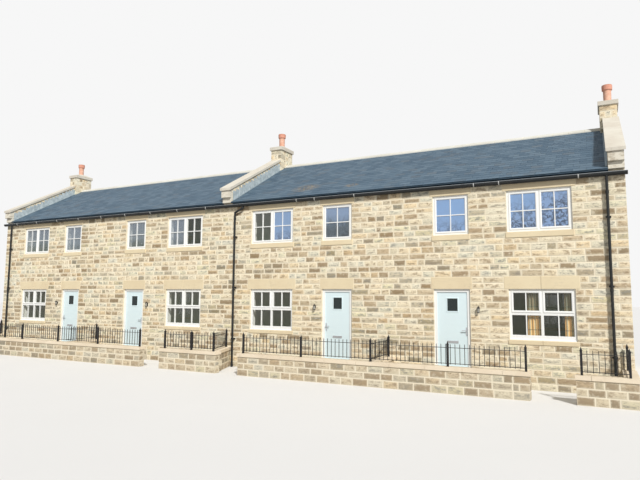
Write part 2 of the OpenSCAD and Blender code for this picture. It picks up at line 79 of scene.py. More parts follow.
def solid_boxes(node: str) -> list[Box]:
    """Finds the boxes of the separate solids of one CAD node.

    Args:
        node: The CAD node's name.

    Returns:
        One (low corner, high corner) for each solid, sorted by y, x and z.
    """
    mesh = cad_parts[node].data
    co = np.empty(len(mesh.vertices) * 3)
    mesh.vertices.foreach_get("co", co)
    co = co.reshape(-1, 3)
    keys, label = np.unique(np.round(co * 1e4).astype(np.int64), axis=0, return_inverse=True)
    label = label.ravel()
    group = np.arange(len(keys))
    edges = np.empty(len(mesh.edges) * 2, np.int64)
    mesh.edges.foreach_get("vertices", edges)
    ends = label[edges.reshape(-1, 2)]
    while True:
        low = np.minimum(group[ends[:, 0]], group[ends[:, 1]])
        before = group.copy()
        np.minimum.at(group, ends[:, 0], low)
        np.minimum.at(group, ends[:, 1], low)
        group = group[group]
        if (group == before).all():
            break
    found = []
    for g in np.unique(group):
        inside = co[group[label] == g]
        found.append((Vector(inside.min(0)), Vector(inside.max(0))))
    return sorted(found, key=lambda b: (round(b[0].y), b[0].x, b[0].z))


class Row:
    """The row's main planes and lines, all read from the frame."""

    def __init__(self) -> None:
        """Reads the planes."""
        self.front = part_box("front_wall_1")[0].y
        self.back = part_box("back_wall")[1].y
        self.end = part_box("gable_wall_right")[1].x
        low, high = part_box("party_wall_middle")
        self.middle = (low.x, high.x)
        self.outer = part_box("gable_wall_right")[0].x
        self.ridge_y = (self.front + self.back) / 2
        self.slate_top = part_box("roof_front")[1].z
        self.parapet_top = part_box("gable_wall_right")[1].z
        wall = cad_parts["gable_wall_right"].data
        foot = max(v.co.z for v in wall.vertices if abs(v.co.y - self.front) < 1e-3)
        self.parapet_fall = (self.parapet_top - foot) / (self.ridge_y - self.front)
        self.wall_top = self.slate_at(self.front) - ROOF_THICK

    def slate_at(self, y: float) -> float:
        """Height of the slates' top at a depth y."""
        return self.slate_top - FALL * abs(y - self.ridge_y)


@dataclass(frozen=True)
class Plane:
    """An upright plane along the row, such as a wall face; side is 1 where depth grows with y."""

    y: float
    side: float

    def at(self, depth: float) -> float:
        """The y at a depth behind the plane."""
        return self.y + self.side * depth


ROW = Row()
FRONT = Plane(ROW.front, 1.0)
BACK = Plane(ROW.back, -1.0)
PARAPETS = ((-ROW.outer, 1), (ROW.middle[0], -1), (ROW.middle[1], 1), (ROW.outer, -1))


def outside(low: Vector) -> Plane:
    """The wall face that a solid belongs to."""
    return FRONT if low.y < ROW.ridge_y else BACK


# Node trees

class Wire:
    """A node's output socket; Python's operators on it add Math nodes."""

    def __init__(self, graph: "Graph", socket: bpy.types.NodeSocket) -> None:
        """Wraps one socket of a graph."""
        self.graph = graph
        self.socket = socket

    def maths(self, operation: str, *others: "Wire | float") -> "Wire":
        """Adds one Math node whose first value is this wire.

        Args:
            operation: The Math node's operation.
            others: Its second and third values.

        Returns:
            The wire of the result.
        """
        return self.graph.maths(operation, self, *others)

    def __add__(self, other: "Wire | float") -> "Wire":
        """Sum."""
        return self.maths("ADD", other)

    def __sub__(self, other: "Wire | float") -> "Wire":
        """Difference."""
        return self.maths("SUBTRACT", other)

    def __mul__(self, other: "Wire | float") -> "Wire":
        """Product."""
        return self.maths("MULTIPLY", other)

    def __truediv__(self, other: "Wire | float") -> "Wire":
        """Quotient."""
        return self.maths("DIVIDE", other)

    def __rsub__(self, other: float) -> "Wire":
        """A number minus this wire."""
        return self.graph.maths("SUBTRACT", other, self)

    def __gt__(self, other: "Wire | float") -> "Wire":
        """1 where this wire is greater, else 0."""
        return self.maths("GREATER_THAN", other)

    def __lt__(self, other: "Wire | float") -> "Wire":
        """1 where this wire is less, else 0."""
        return self.maths("LESS_THAN", other)

    __radd__ = __add__
    __rmul__ = __mul__

    def abs(self) -> "Wire":
        """Absolute value."""
        return self.maths("ABSOLUTE")

    def clamp(self, low: float = 0.0, high: float = 1.0) -> "Wire":
        """This wire held between two numbers."""
        return self.maths("MAXIMUM", low).maths("MINIMUM", high)

    def step(self, low: float, high: float) -> "Wire":
        """A smooth step from 0 at low to 1 at high.

        Args:
            low, high: Where the step starts and ends.

        Returns:
            The wire of the result.
        """
        node = self.graph.add("ShaderNodeMapRange", {"interpolation_type": "SMOOTHSTEP"},
                              {"Value": self, "From Min": low, "From Max": high})
        return Wire(self.graph, node.outputs["Result"])


class Graph:
    """A node tree under construction."""

    def __init__(self, tree: bpy.types.NodeTree) -> None:
        """Starts on an existing tree."""
        self.tree = tree

    def add(self, kind: str, settings: dict | None = None,
            values: dict | None = None) -> bpy.types.Node:
        """Adds any node.

        Args:
            kind: The node's type name.
            settings: Properties that are set first; "stops" are a colour ramp's (place, colour)
                pairs, and "curve" is its interpolation.
            values: A number, colour, object or wire for each input, by name or index.

        Returns:
            The new node.
        """
        node = self.tree.nodes.new(kind)
        for name, value in (settings or {}).items():
            if name == "stops":
                ramp = node.color_ramp
                while len(ramp.elements) < len(value):
                    ramp.elements.new(0.5)
                for element, (place, colour) in zip(ramp.elements, value):
                    element.position = place
                    element.color = (*colour, 1.0)
            elif name == "curve":
                node.color_ramp.interpolation = value
            else:
                setattr(node, name, value)
        for name, value in (values or {}).items():
            socket = node.inputs[name]
            if isinstance(value, Wire):
                self.tree.links.new(value.socket, socket)
            else:
                socket.default_value = value
        return node

    def wire(self, kind: str, settings: dict | None = None, values: dict | None = None,
             out: str | int = 0) -> Wire:
        """Adds any node and returns the wire of one of its outputs."""
        return Wire(self, self.add(kind, settings, values).outputs[out])

    def maths(self, operation: str, *values: Wire | float) -> Wire:
        """Adds one Math node."""
        return self.wire("ShaderNodeMath", {"operation": operation}, dict(enumerate(values)))

    def vector(self, operation: str, *values: Wire | tuple) -> Wire:
        """Adds one Vector Math node."""
        return self.wire("ShaderNodeVectorMath", {"operation": operation}, dict(enumerate(values)))

    def combine(self, x: Wire | float, y: Wire | float, z: Wire | float) -> Wire:
        """Puts three numbers into one vector."""
        return self.wire("ShaderNodeCombineXYZ", None, {0: x, 1: y, 2: z})

    def split(self, vector: Wire) -> tuple[Wire, Wire, Wire]:
        """Takes a vector apart."""
        node = self.add("ShaderNodeSeparateXYZ", None, {0: vector})
        return tuple(Wire(self, node.outputs[i]) for i in range(3))


class Blend(Enum):
    """How a colour is laid over another."""

    OVER = "MIX"
    SHADE = "MULTIPLY"


class Curve(Enum):
    """How a colour ramp goes from one stop to the next."""

    EVEN = "LINEAR"
    STEPS = "CONSTANT"


class Shader(Graph):
    """A material's node tree with the parts that the finishes share."""

    def __init__(self, name: str) -> None:
        """Makes an empty material.

        Args:
            name: Its name.
        """
        self.material = bpy.data.materials.new(name)
        self.material.use_nodes = True
        super().__init__(self.material.node_tree)
        self.tree.nodes.clear()
        self.place = self.wire("ShaderNodeTexCoord", out="Object")

    def noise(self, scale: float, detail: float = 4.0, rough: float = 0.55,
              stretch: Triple = (1, 1, 1)) -> Wire:
        """Noise on object coordinates.

        Args:
            scale: Waves per metre.
            detail: Octaves.
            rough: Strength of the finer octaves.
            stretch: Factors of x, y and z before the noise.

        Returns:
            The noise value.
        """
        place = self.vector("MULTIPLY", self.place, stretch)
        return self.wire("ShaderNodeTexNoise", None,
                         {"Vector": place, "Scale": scale, "Detail": detail, "Roughness": rough})

    def attribute(self, name: str) -> Wire:
        """A number that the mesh carries under that name."""
        return self.wire("ShaderNodeAttribute", {"attribute_name": name}, out="Fac")

    def vector_attribute(self, name: str) -> tuple[Wire, Wire, Wire]:
        """The three numbers of a vector that the mesh carries under that name."""
        return self.split(self.wire("ShaderNodeAttribute", {"attribute_name": name}, out="Vector"))

    def ramp(self, value: Wire, stops: Stops, curve: Curve = Curve.EVEN) -> Wire:
        """A colour ramp."""
        return self.wire("ShaderNodeValToRGB", {"stops": stops, "curve": curve.value}, {0: value})

    def mix(self, factor: Wire | float, low: Wire | tuple, high: Wire | tuple,
            blend: Blend = Blend.OVER) -> Wire:
        """Lays one colour over another.

        Args:
            factor: How much of the second colour shows.
            low: The first colour.
            high: The second colour.
            blend: How they mix.

        Returns:
            The mixed colour.
        """
        full = [c if isinstance(c, Wire) else (*c, 1.0) for c in (low, high)]
        return self.wire("ShaderNodeMix", {"data_type": "RGBA", "blend_type": blend.value},
                         {"Factor": factor, 6: full[0], 7: full[1]}, out=2)

    def bump(self, height: Wire, depth: float, strength: float = 1.0) -> Wire:
        """Turns a height into a normal; depth is the height's scale in metres."""
        return self.wire("ShaderNodeBump", None,
                         {"Height": height, "Distance": depth, "Strength": strength})

    def finish(self, colour: Wire | tuple, roughness: Wire | float, normal: Wire | None = None,
               **constants: float) -> Material:
        """Adds the surface shader and the output.

        Args:
            colour: Base colour.
            roughness: Roughness.
            normal: Bumped normal, if any.
            constants: Other sockets of the surface shader, with underscores for spaces.

        Returns:
            The finished material.
        """
        values: dict = {"Base Color": colour if isinstance(colour, Wire) else (*colour, 1.0),
                        "Roughness": roughness}
        values.update({name.replace("_", " "): value for name, value in constants.items()})
        if normal is not None:
            values["Normal"] = normal
        surface = self.wire("ShaderNodeBsdfPrincipled", None, values)
        self.add("ShaderNodeOutputMaterial", None, {"Surface": surface})
        return self.material


# Finishes

@dataclass(frozen=True)
class Stone:
    """Rock-faced sandstone; tone and tint differ from stone to stone."""

    name: str = "coursed_sandstone"
    darker: float = 0.0
    tones: Stops = (
        (0.0, (0.31, 0.255, 0.175)), (0.13, (0.46, 0.375, 0.26)), (0.30, (0.65, 0.555, 0.405)),
        (0.46, (0.81, 0.73, 0.555)), (1.0, (0.88, 0.81, 0.65)))
    tints: Stops = (
        (0.0, (1.02, 0.90, 0.74)), (0.22, (1.0, 0.98, 0.93)), (0.45, (1.02, 0.955, 0.88)),
        (0.62, (1.0, 1.0, 0.97)), (0.84, (0.93, 0.97, 0.99)), (1.0, (0.98, 0.98, 0.84)))

    def build(self) -> Material:
        """Makes the material.

        Returns:
            The material.
        """
        s = Shader(self.name)
        tint = s.attribute("tint")
        base = s.ramp(s.attribute("tone"), self.tones)
        colour = s.mix(1.0, base, s.ramp(tint, self.tints), Blend.SHADE)
        core = self.core(s)
        streak = s.noise(5.0, 5.0, 0.62, (1, 1, 2.6))
        veins = s.noise(24.0, 4.0, 0.6, (1, 1, 2.4))
        # stains gather in each stone's middle: partly iron stain, partly painted shade of the rock
        # face's relief
        stain = (streak.step(0.46, 0.62) * 0.70 + veins.step(0.47, 0.68) * 0.52).clamp()
        stain = stain * (core * 0.88 + 0.12)
        dirt = s.mix(tint.step(0.55, 0.85), (0.34, 0.25, 0.16), (0.29, 0.285, 0.25))
        colour = s.mix(stain, colour, dirt)
        pale = s.noise(11.0, 3.0, 0.5).step(0.56, 0.74) * 0.45
        colour = s.mix(pale, colour, (0.88, 0.81, 0.64))
        # the rim painted paler: partly smeared pointing, partly the light side of the painted relief
        # shade
        colour = s.mix((1.0 - core) * 0.48, colour, (0.85, 0.78, 0.62))
        if self.darker:
            colour = s.mix(self.darker, colour, (0.38, 0.32, 0.24))
        grain = s.noise(95.0, 3.0, 0.6)
        rough = s.noise(30.0, 4.0, 0.6)
        normal = s.bump(rough * 0.7 + grain * 0.3, 0.008, 0.8)
        return s.finish(colour, 0.93, normal, Specular_IOR_Level=0.25)

    def core(self, s: Shader) -> Wire:
        """1 in a stone's middle and 0 at its uneven rim. The darker middle and paler rim it gives are
        partly iron stain and smeared pointing, partly painted shade of the rock face's relief.

        Args:
            s: The shader.

        Returns:
            The wire of the number.
        """
        u, v, _ = s.vector_attribute("local")
        half_u, _, half_v = s.vector_attribute("half")
        end = (1.0 - u.abs() / RIM_U) * half_u
        bed = (1.0 - v.abs() / RIM_V) * half_v
        uneven = (s.noise(16.0, 3.0, 0.6) - 0.5) * 0.10
        return (end.maths("MINIMUM", bed) + uneven).step(-0.006, 0.034)


@dataclass(frozen=True)
class Mortar:
    """Pointing between the stones; inside the rooms the same walls are plastered."""

    name: str = "pointing_and_plaster"
    reveal: float = 0.168

    def build(self) -> Material:
        """Makes the material.

        Returns:
            The material.
        """
        s = Shader(self.name)
        x, y, z = s.split(s.place)
        cloud = s.noise(3.0, 4.0, 0.6)
        sand = s.noise(140.0, 2.0, 0.6)
        joint = s.mix(cloud, (0.78, 0.70, 0.54), (0.88, 0.81, 0.66))
        joint = s.mix(sand.step(0.5, 0.8) * 0.2, joint, (0.56, 0.49, 0.37))
        plaster = s.mix(cloud, (0.84, 0.86, 0.80), (0.89, 0.90, 0.85))
        inside = ((y > ROW.front + self.reveal) * (y < ROW.back - self.reveal)
                  * (x.abs() < ROW.outer + 0.004) * (z < ROW.wall_top + 0.1))
        colour = s.mix(inside, joint, plaster)
        normal = s.bump(sand * (1.0 - inside * 0.8), 0.003, 0.8)
        return s.finish(colour, 0.95, normal, Specular_IOR_Level=0.2)


@dataclass(frozen=True)
class SawnStone:
    """Smooth dressed sandstone of lintels, sills, copings and caps."""

    name: str
    light: Triple
    dark: Triple
    dirt: float = 0.25
    rough_below: float = 0.0

    def build(self) -> Material:
        """Makes the material.

        Returns:
            The material.
        """
        s = Shader(self.name)
        cloud = s.noise(1.3, 4.0, 0.6)
        bed = s.noise(4.0, 4.0, 0.55, (1, 1, 6))
        grain = s.noise(170.0, 2.0, 0.7)
        colour = s.mix(cloud.step(0.3, 0.7), self.dark, self.light)
        colour = s.mix(bed.step(0.5, 0.75) * 0.3, colour, tuple(0.85 * c for c in self.dark))
        stain = s.noise(7.0, 5.0, 0.65).step(0.56, 0.78) * self.dirt
        colour = s.mix(stain, colour, (0.33, 0.28, 0.21))
        if self.rough_below:
            below = s.split(s.place)[2] < self.rough_below
            patch = s.noise(6.0, 5.0, 0.65, (1, 1, 1.6)).step(0.48, 0.66) * 0.7
            colour = s.mix(below * 0.7, colour, (0.80, 0.76, 0.65))
            colour = s.mix(below * patch, colour, (0.42, 0.36, 0.27))
        colour = s.mix(grain.step(0.45, 0.8) * 0.18, colour, (0.45, 0.36, 0.24))
        normal = s.bump(grain * 0.4 + bed * 0.6, 0.0018, 0.7)
        return s.finish(colour, 0.9, normal, Specular_IOR_Level=0.25)


@dataclass(frozen=True)
class Slate:
    """Blue-grey slate; every slate has its own shade.

    Lichen grows on the front slope in places given as (x, distance behind the wall face, radius).
    """

    name: str = "blue_grey_slate"
    lichen: tuple[Triple, ...] = ((2.81, 0.60, 0.62), (4.52, 0.45, 0.30))
    tones: Stops = (
        (0.0, (0.054, 0.095, 0.140)), (0.5, (0.074, 0.122, 0.172)), (1.0, (0.100, 0.152, 0.203)))

    def build(self) -> Material:
        """Makes the material.

        Returns:
            The material.
        """
        s = Shader(self.name)
        x, y, _ = s.split(s.place)
        colour = s.ramp(s.attribute("tone"), self.tones)
        colour = s.mix(s.attribute("tint").step(0.8, 1.0) * 0.5, colour, (0.10, 0.12, 0.14))
        riven = s.noise(22.0, 5.0, 0.6, (1, 2, 2))
        colour = s.mix(riven.step(0.5, 0.8) * 0.35, colour, (0.13, 0.17, 0.20))
        run = s.noise(2.2, 4.0, 0.6, (2.5, 0.6, 0.6)).step(0.55, 0.8) * 0.3
        colour = s.mix(run, colour, (0.12, 0.145, 0.15))
        speckle = s.noise(16.0, 5.0, 0.7).step(0.44, 0.6)
        front = y < ROW.ridge_y
        for along, behind, radius in self.lichen:
            dx = x - along
            dy = y - FRONT.at(behind)
            near = 1.0 - (dx * dx + dy * dy * 2.5).step(0.0, radius * radius)
            colour = s.mix(near * speckle * front * 0.75, colour, (0.30, 0.21, 0.10))
        normal = s.bump(riven, 0.003, 0.7)
        return s.finish(colour, 0.58 + riven * 0.15, normal, Specular_IOR_Level=0.3)


@dataclass(frozen=True)
class Paint:
    """Painted metal or plastic with faint unevenness and a little dust in patches."""

    name: str
    colour: Triple
    roughness: float
    dust: Triple = (0.3, 0.28, 0.25)
    amount: float = 0.1
    grain: float = 0.0006
    gloss: float = 0.5

    def build(self) -> Material:
        """Makes the material.

        Returns:
            The material.
        """
        s = Shader(self.name)
        cloud = s.noise(2.3, 4.0, 0.6)
        fine = s.noise(60.0, 3.0, 0.5)
        colour = s.mix(cloud.step(0.35, 0.8) * self.amount, self.colour, self.dust)
        worn = tuple(0.8 * c for c in self.colour)
        colour = s.mix(fine.step(0.5, 0.8) * self.amount * 0.6, colour, worn)
        normal = s.bump(fine, self.grain, 0.6)
        return s.finish(colour, self.roughness + cloud * 0.12, normal, Specular_IOR_Level=self.gloss)


@dataclass(frozen=True)
class Metal:
    """Brushed steel of the door furniture."""

    name: str = "brushed_door_steel"

    def build(self) -> Material:
        """Makes the material.

        Returns:
            The material.
        """
        s = Shader(self.name)
        brush = s.noise(300.0, 2.0, 0.5, (1, 1, 0.08))
        colour = s.mix(brush, (0.48, 0.49, 0.51), (0.62, 0.63, 0.65))
        return s.finish(colour, 0.28 + brush * 0.12, s.bump(brush, 0.0003, 0.5), Metallic=0.9)


@dataclass(frozen=True)
class Lead:
    """Weathered lead flashing; where it lies on the slates it is painted dark as painted shade of the
    parapets.
    """

    name: str = "weathered_lead"

    def build(self) -> Material:
        """Makes the material.

        Returns:
            The material.
        """
        s = Shader(self.name)
        cloud = s.noise(7.0, 5.0, 0.65)
        streak = s.noise(14.0, 3.0, 0.5, (1, 1, 0.3))
        colour = s.mix(cloud.step(0.3, 0.75), (0.36, 0.43, 0.46), (0.60, 0.68, 0.71))
        colour = s.mix(streak.step(0.52, 0.72) * 0.4, colour, (0.70, 0.73, 0.73))
        # the lead just above the slates is painted dark, as painted shade of the parapets' shadow
        # blending into the slates
        _, y, z = s.split(s.place)
        above = z - (ROW.slate_top - (y - ROW.ridge_y).abs() * FALL)
        colour = s.mix((1.0 - above.step(0.012, 0.05)) * 0.8, colour, (0.14, 0.19, 0.23))
        return s.finish(colour, 0.55, s.bump(cloud, 0.003, 0.6), Metallic=0.15)


@dataclass(frozen=True)
class Clay:
    """Terracotta of the chimney pots, sooty inside and at the rim."""

    name: str = "terracotta"

    def build(self) -> Material:
        """Makes the material.

        Returns:
            The material.
        """
        s = Shader(self.name)
        up = s.split(s.place)[2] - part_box("chimney_pots")[1].z
        cloud = s.noise(9.0, 4.0, 0.6)
        colour = s.mix(cloud.step(0.3, 0.75), (0.68, 0.35, 0.24), (0.82, 0.53, 0.40))
        colour = s.mix(up.step(-0.21, -0.15) * 0.6, colour, (0.66, 0.25, 0.17))
        soot = up.step(-0.05, 0.02) * (0.4 + cloud * 0.6)
        colour = s.mix(soot * 0.7, colour, (0.12, 0.07, 0.05))
        return s.finish(colour, 0.8, s.bump(s.noise(90.0, 2.0), 0.0015, 0.7))


@dataclass(frozen=True)
class Glass:
    """Window glass with painted reflections: a blue sky, a dark hedge band at the foot and crooked lines
    of boughs.

    Each pane carries how strong the painted sky reflection is (shine), how high the painted hedge band
    and bough lines reach (band, lines) and how clear it is; up is the height within the pane. Dull panes
    show painted shade of the dim room behind; clear ones show a pale painted haze and a green painted
    lawn reflection at the foot.
    """

    name: str = "window_glass"
    blue: Triple = (0.25, 0.425, 0.74)
    room_shade_and_haze: Triple = (0.036, 0.034, 0.032)

    def build(self) -> Material:
        """Makes the material.

        Returns:
            The material.
        """
        s = Shader(self.name)
        shine, low, high, clear, up = (s.attribute(name) for name in (*PANE_NUMBERS, "up"))
        cloud = s.noise(1.7, 5.0, 0.65)
        # painted sky reflection with painted clouds; clear panes get a paler painted sky
        blue = s.mix(cloud.step(0.35, 0.75) * 0.35, self.blue, (0.26, 0.33, 0.46))
        blue = s.mix((clear * 1.3).clamp(), blue, (0.58, 0.69, 0.88))
        # dark painted shade of the dim room on dull panes, turning into a pale painted haze of the
        # surroundings on clear panes
        room_shade_and_haze = s.mix(clear.step(0.45, 0.9), self.room_shade_and_haze, (0.80, 0.83, 0.73))
        # a painted reflection of a dark hedge along the foot of each pane, with a ragged top
        ragged = (s.noise(9.0, 6.0, 0.7, (1, 1, 0.5)) - 0.5) * 0.9
        band = (low * 1.35 - up + ragged).step(0.0, 0.5)
        blue = s.mix(band * 0.75, blue, (0.085, 0.105, 0.095))
        # painted reflections of boughs: a greyer tint up to where they reach, and crooked dark lines
        reach = (high * 1.5 - up).step(-0.45, 0.35)
        blue = s.mix(reach * 0.2, blue, (0.30, 0.32, 0.46))
        lines = self.lines(s, 2.1, 0.030).maths("MAXIMUM", self.lines(s, 5.5, 0.045) * 0.8)
        blue = s.mix(lines * reach * 0.92, blue, (0.035, 0.04, 0.045))
        # a painted reflection of a green lawn towards the foot of clear panes
        green = s.mix((1.0 - up) * 0.5 * clear, room_shade_and_haze, (0.55, 0.72, 0.42))
        # each pane's painted sky reflection laid over the rest by its strength
        colour = s.mix(shine, green, blue)
        return s.finish(colour, 0.06, None, Alpha=0.95 - clear, Specular_IOR_Level=0.5)

    def lines(self, s: Shader, scale: float, width: float) -> Wire:
        """Crooked thin lines, painted reflections of boughs, where a noise crosses its middle."""
        return 1.0 - (s.noise(scale, 5.0, 0.62) - 0.5).abs().step(0.0, width)


@dataclass(frozen=True)
class DarkGlass:
    """Obscured dark glass of the doors' vision panels and the lantern panes."""

    name: str
    colour: Triple
    alpha: float = 0.95

    def build(self) -> Material:
        """Makes the material.

        Returns:
            The material.
        """
        s = Shader(self.name)
        dimple = s.noise(70.0, 2.0, 0.4)
        colour = s.mix(dimple, self.colour, tuple(1.35 * c for c in self.colour))
        return s.finish(colour, 0.14, s.bump(dimple, 0.001, 0.5), Alpha=self.alpha,
                        Specular_IOR_Level=0.35)


@dataclass(frozen=True)
class Checks:
    """Checked curtain cloth in orange, cream and dark brown, with a plain weave and a shaded head."""

    name: str = "checked_curtain_cloth"
    repeat: float = 0.16
    rise: float = 0.30
    shade: float = 0.78
    bands: Stops = (
        (0.0, (0.70, 0.41, 0.14)), (0.34, (0.74, 0.67, 0.44)), (0.44, (0.08, 0.06, 0.04)),
        (0.50, (0.74, 0.67, 0.44)), (0.60, (0.74, 0.48, 0.18)), (0.92, (0.24, 0.15, 0.07)))

    def build(self) -> Material:
        """Makes the material.

        Returns:
            The material.
        """
        s = Shader(self.name)
        across = (s.attribute("across") / self.repeat).maths("FRACT")
        colour = s.ramp(across, self.bands, Curve.STEPS)
        z = s.split(s.place)[2]
        check = (z / self.rise).maths("FRACT") < 0.07
        colour = s.mix(check * 0.75, colour, (0.12, 0.09, 0.06))
        low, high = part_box("curtains")
        head = ((z - low.z) / (high.z - low.z)).step(0.46, 0.64)
        colour = s.mix(head * self.shade, colour, (0.07, 0.10, 0.08))
        weave = s.noise(420.0, 1.0, 0.5)
        colour = s.mix(weave * 0.1, colour, (0.45, 0.36, 0.22))
        return s.finish(colour, 0.9, s.bump(weave, 0.0006, 0.6), Sheen_Weight=0.3)


@dataclass(frozen=True)
class Screed:
    """Grey screed of the ground floor."""

    name: str = "ground_floor_screed"

    def build(self) -> Material:
        """Makes the material.

        Returns:
            The material.
        """
        s = Shader(self.name)
        colour = s.mix(s.noise(2.0, 4.0, 0.6), (0.30, 0.29, 0.27), (0.42, 0.41, 0.38))
        return s.finish(colour, 0.85, s.bump(s.noise(60.0), 0.001, 0.5))


@dataclass(frozen=True)
class Boards:
    """Wooden boards of the upper floor."""

    name: str = "upper_floor_boards"
    width: float = 0.14

    def build(self) -> Material:
        """Makes the material.

        Returns:
            The material.
        """
        s = Shader(self.name)
        gap = (s.split(s.place)[1] / self.width).maths("FRACT") < 0.04
        grain = s.noise(5.0, 4.0, 0.6, (0.3, 4, 4))
        colour = s.mix(grain, (0.30, 0.19, 0.10), (0.48, 0.33, 0.19))
        colour = s.mix(gap, colour, (0.08, 0.05, 0.03))
        return s.finish(colour, 0.6, s.bump(1.0 - gap, 0.002, 0.6))


class Finishes:
    """Every material of the row, made once."""

    def __init__(self) -> None:
        """Builds the materials."""
        self.stone = Stone().build()
        self.block = Stone("garden_wall_stone", 0.33).build()
        self.mortar = Mortar().build()
        self.dressed = SawnStone("dressed_sandstone", (0.80, 0.69, 0.48), (0.75, 0.63, 0.43)).build()
        self.coping = SawnStone("garden_coping_stone", (0.86, 0.75, 0.59), (0.78, 0.66, 0.50),
                                0.4).build()
        self.raking = SawnStone("gable_coping_stone", (0.71, 0.68, 0.60), (0.62, 0.57, 0.49),
                                0.35, 5.93).build()
        self.ridge = SawnStone("ridge_stone", (0.72, 0.72, 0.67), (0.62, 0.61, 0.55), 0.4).build()
        self.slate = Slate().build()
        self.frame = Paint("white_window_plastic", (0.88, 0.89, 0.88), 0.3,
                           (0.76, 0.75, 0.70), 0.06).build()
        self.door = Paint("pale_blue_door_paint", (0.71, 0.84, 0.88), 0.4,
                          (0.64, 0.72, 0.74), 0.10, 0.0008).build()
        self.black = Paint("black_railing_paint", (0.016, 0.016, 0.018), 0.4,
                           (0.10, 0.09, 0.08), 0.10, gloss=0.3).build()
        self.rain = Paint("black_rainwater_plastic", (0.018, 0.020, 0.021), 0.45,
                          (0.10, 0.09, 0.08), 0.12, gloss=0.25).build()
        # the pale grey of the lip along each gutter's rim is a painted highlight on the black plastic
        self.lip = Paint("gutter_lip_painted_highlight", (0.42, 0.46, 0.49), 0.35, (0.25, 0.25, 0.25), 0.3).build()
        self.zinc = Paint("pale_bracket_zinc", (0.62, 0.63, 0.62), 0.45,
                          (0.42, 0.41, 0.38), 0.3).build()
        self.metal = Metal().build()
        self.lead = Lead().build()
        self.clay = Clay().build()
        self.glass = Glass().build()
        self.panel = DarkGlass("door_vision_glass", (0.018, 0.026, 0.027)).build()
        self.pane = DarkGlass("lantern_glass", (0.70, 0.69, 0.62), 0.5).build()
        self.cloth = Checks().build()
        self.boards = Boards().build()
        self.screed = Screed().build()


# Mesh helpers

def link(thing: bpy.types.Object) -> None:
    """Puts an object in the scene."""
    bpy.context.scene.collection.objects.link(thing)


def coat(mesh: Mesh, material: Material) -> None:
    """Gives a mesh one material."""
    mesh.materials.clear()
    mesh.materials.append(material)


def new_piece(name: str, mesh: Mesh, material: Material,
              body: str = ROOT_BODY) -> bpy.types.Object:
    """Puts a finished mesh in the scene as a piece of the row.

    Args:
        name: The piece's name.
        mesh: Its mesh, in place.
        material: Its finish.
        body: The CAD body that carries it.

    Returns:
        The new object.
    """
    mesh.name = name
    coat(mesh, material)
    piece = bpy.data.objects.new(name, mesh)
    link(piece)
    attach(piece, body)
    LOG.info("%s: %d faces on %s", name, len(mesh.polygons), body)
    return piece


def dress(node: str, material: Material) -> None:
    """Gives a carried-over CAD node its finish."""
    coat(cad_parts[node].data, material)
    LOG.info("%s: CAD node in %s", node, material.name)


def merged_copy(node: str) -> bmesh.types.BMesh:
    """Copies a CAD node, joins its loose triangles and dissolves its flat faces into one each.

    Args:
        node: The CAD node.

    Returns:
        The working geometry.
    """
    work = bmesh.new()
    work.from_mesh(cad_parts[node].data)
    bmesh.ops.remove_doubles(work, verts=work.verts, dist=1e-5)
    bmesh.ops.dissolve_limit(work, angle_limit=0.01, verts=work.verts, edges=work.edges)
    return work


def open_joint(work: bmesh.types.BMesh, axis: int, at: float, gap: float) -> None:
    """Cuts an open joint through closed solids, square to an axis.

    Args:
        work: The solids.
        axis: 0 for x, 1 for y, 2 for z.
        at: The middle of the joint on that axis.
        gap: The joint's width in metres.
    """
    across = Vector((0, 0, 0))
    across[axis] = 1.0
    for side in (-0.5, 0.5):
        geometry = work.verts[:] + work.edges[:] + work.faces[:]
        bmesh.ops.bisect_plane(work, geom=geometry, dist=1e-6, plane_no=across,
                               plane_co=across * at + across * gap * side)
    between = [f for f in work.faces if abs(f.calc_center_median()[axis] - at) < 0.49 * gap]
    bmesh.ops.delete(work, geom=between, context="FACES")
    rims = [e for e in work.edges if e.is_boundary]
    bmesh.ops.holes_fill(work, edges=rims, sides=0)


def to_mesh(work: bmesh.types.BMesh, name: str) -> Mesh:
    """Turns working geometry into a mesh with its faces outward.

    Args:
        work: The geometry, which is freed.
        name: The mesh's name.

    Returns:
        The mesh.
    """
    bmesh.ops.recalc_face_normals(work, faces=work.faces)
    mesh = bpy.data.meshes.new(name)
    work.to_mesh(mesh)
    work.free()
    return mesh


def peel(mesh: Mesh) -> None:
    """Takes away flat slivers, which hang on a closed shell by one edge and end in open ones.

    Args:
        mesh: The mesh, which is changed.
    """
    work = bmesh.new()
    work.from_mesh(mesh)
    while slivers := [f for f in work.faces if any(len(e.link_faces) == 1 for e in f.edges)]:
        bmesh.ops.delete(work, geom=slivers, context="FACES")
    work.to_mesh(mesh)
    work.free()


def soften(piece: bpy.types.Object, width: float, segments: int = 2,
           angle: float = 35) -> bpy.types.Object:
    """Rounds the sharp edges of a piece with a Bevel modifier.

    Args:
        piece: The piece.
        width: The bevel's width in metres.
        segments: Its steps.
        angle: The least angle of an edge that is rounded, in degrees.

    Returns:
        The same piece.
    """
    bevel = piece.modifiers.new("arris", "BEVEL")
    bevel.width = width
    bevel.segments = segments
    bevel.limit_method = "ANGLE"
    bevel.angle_limit = math.radians(angle)
    bevel.harden_normals = False
    return piece


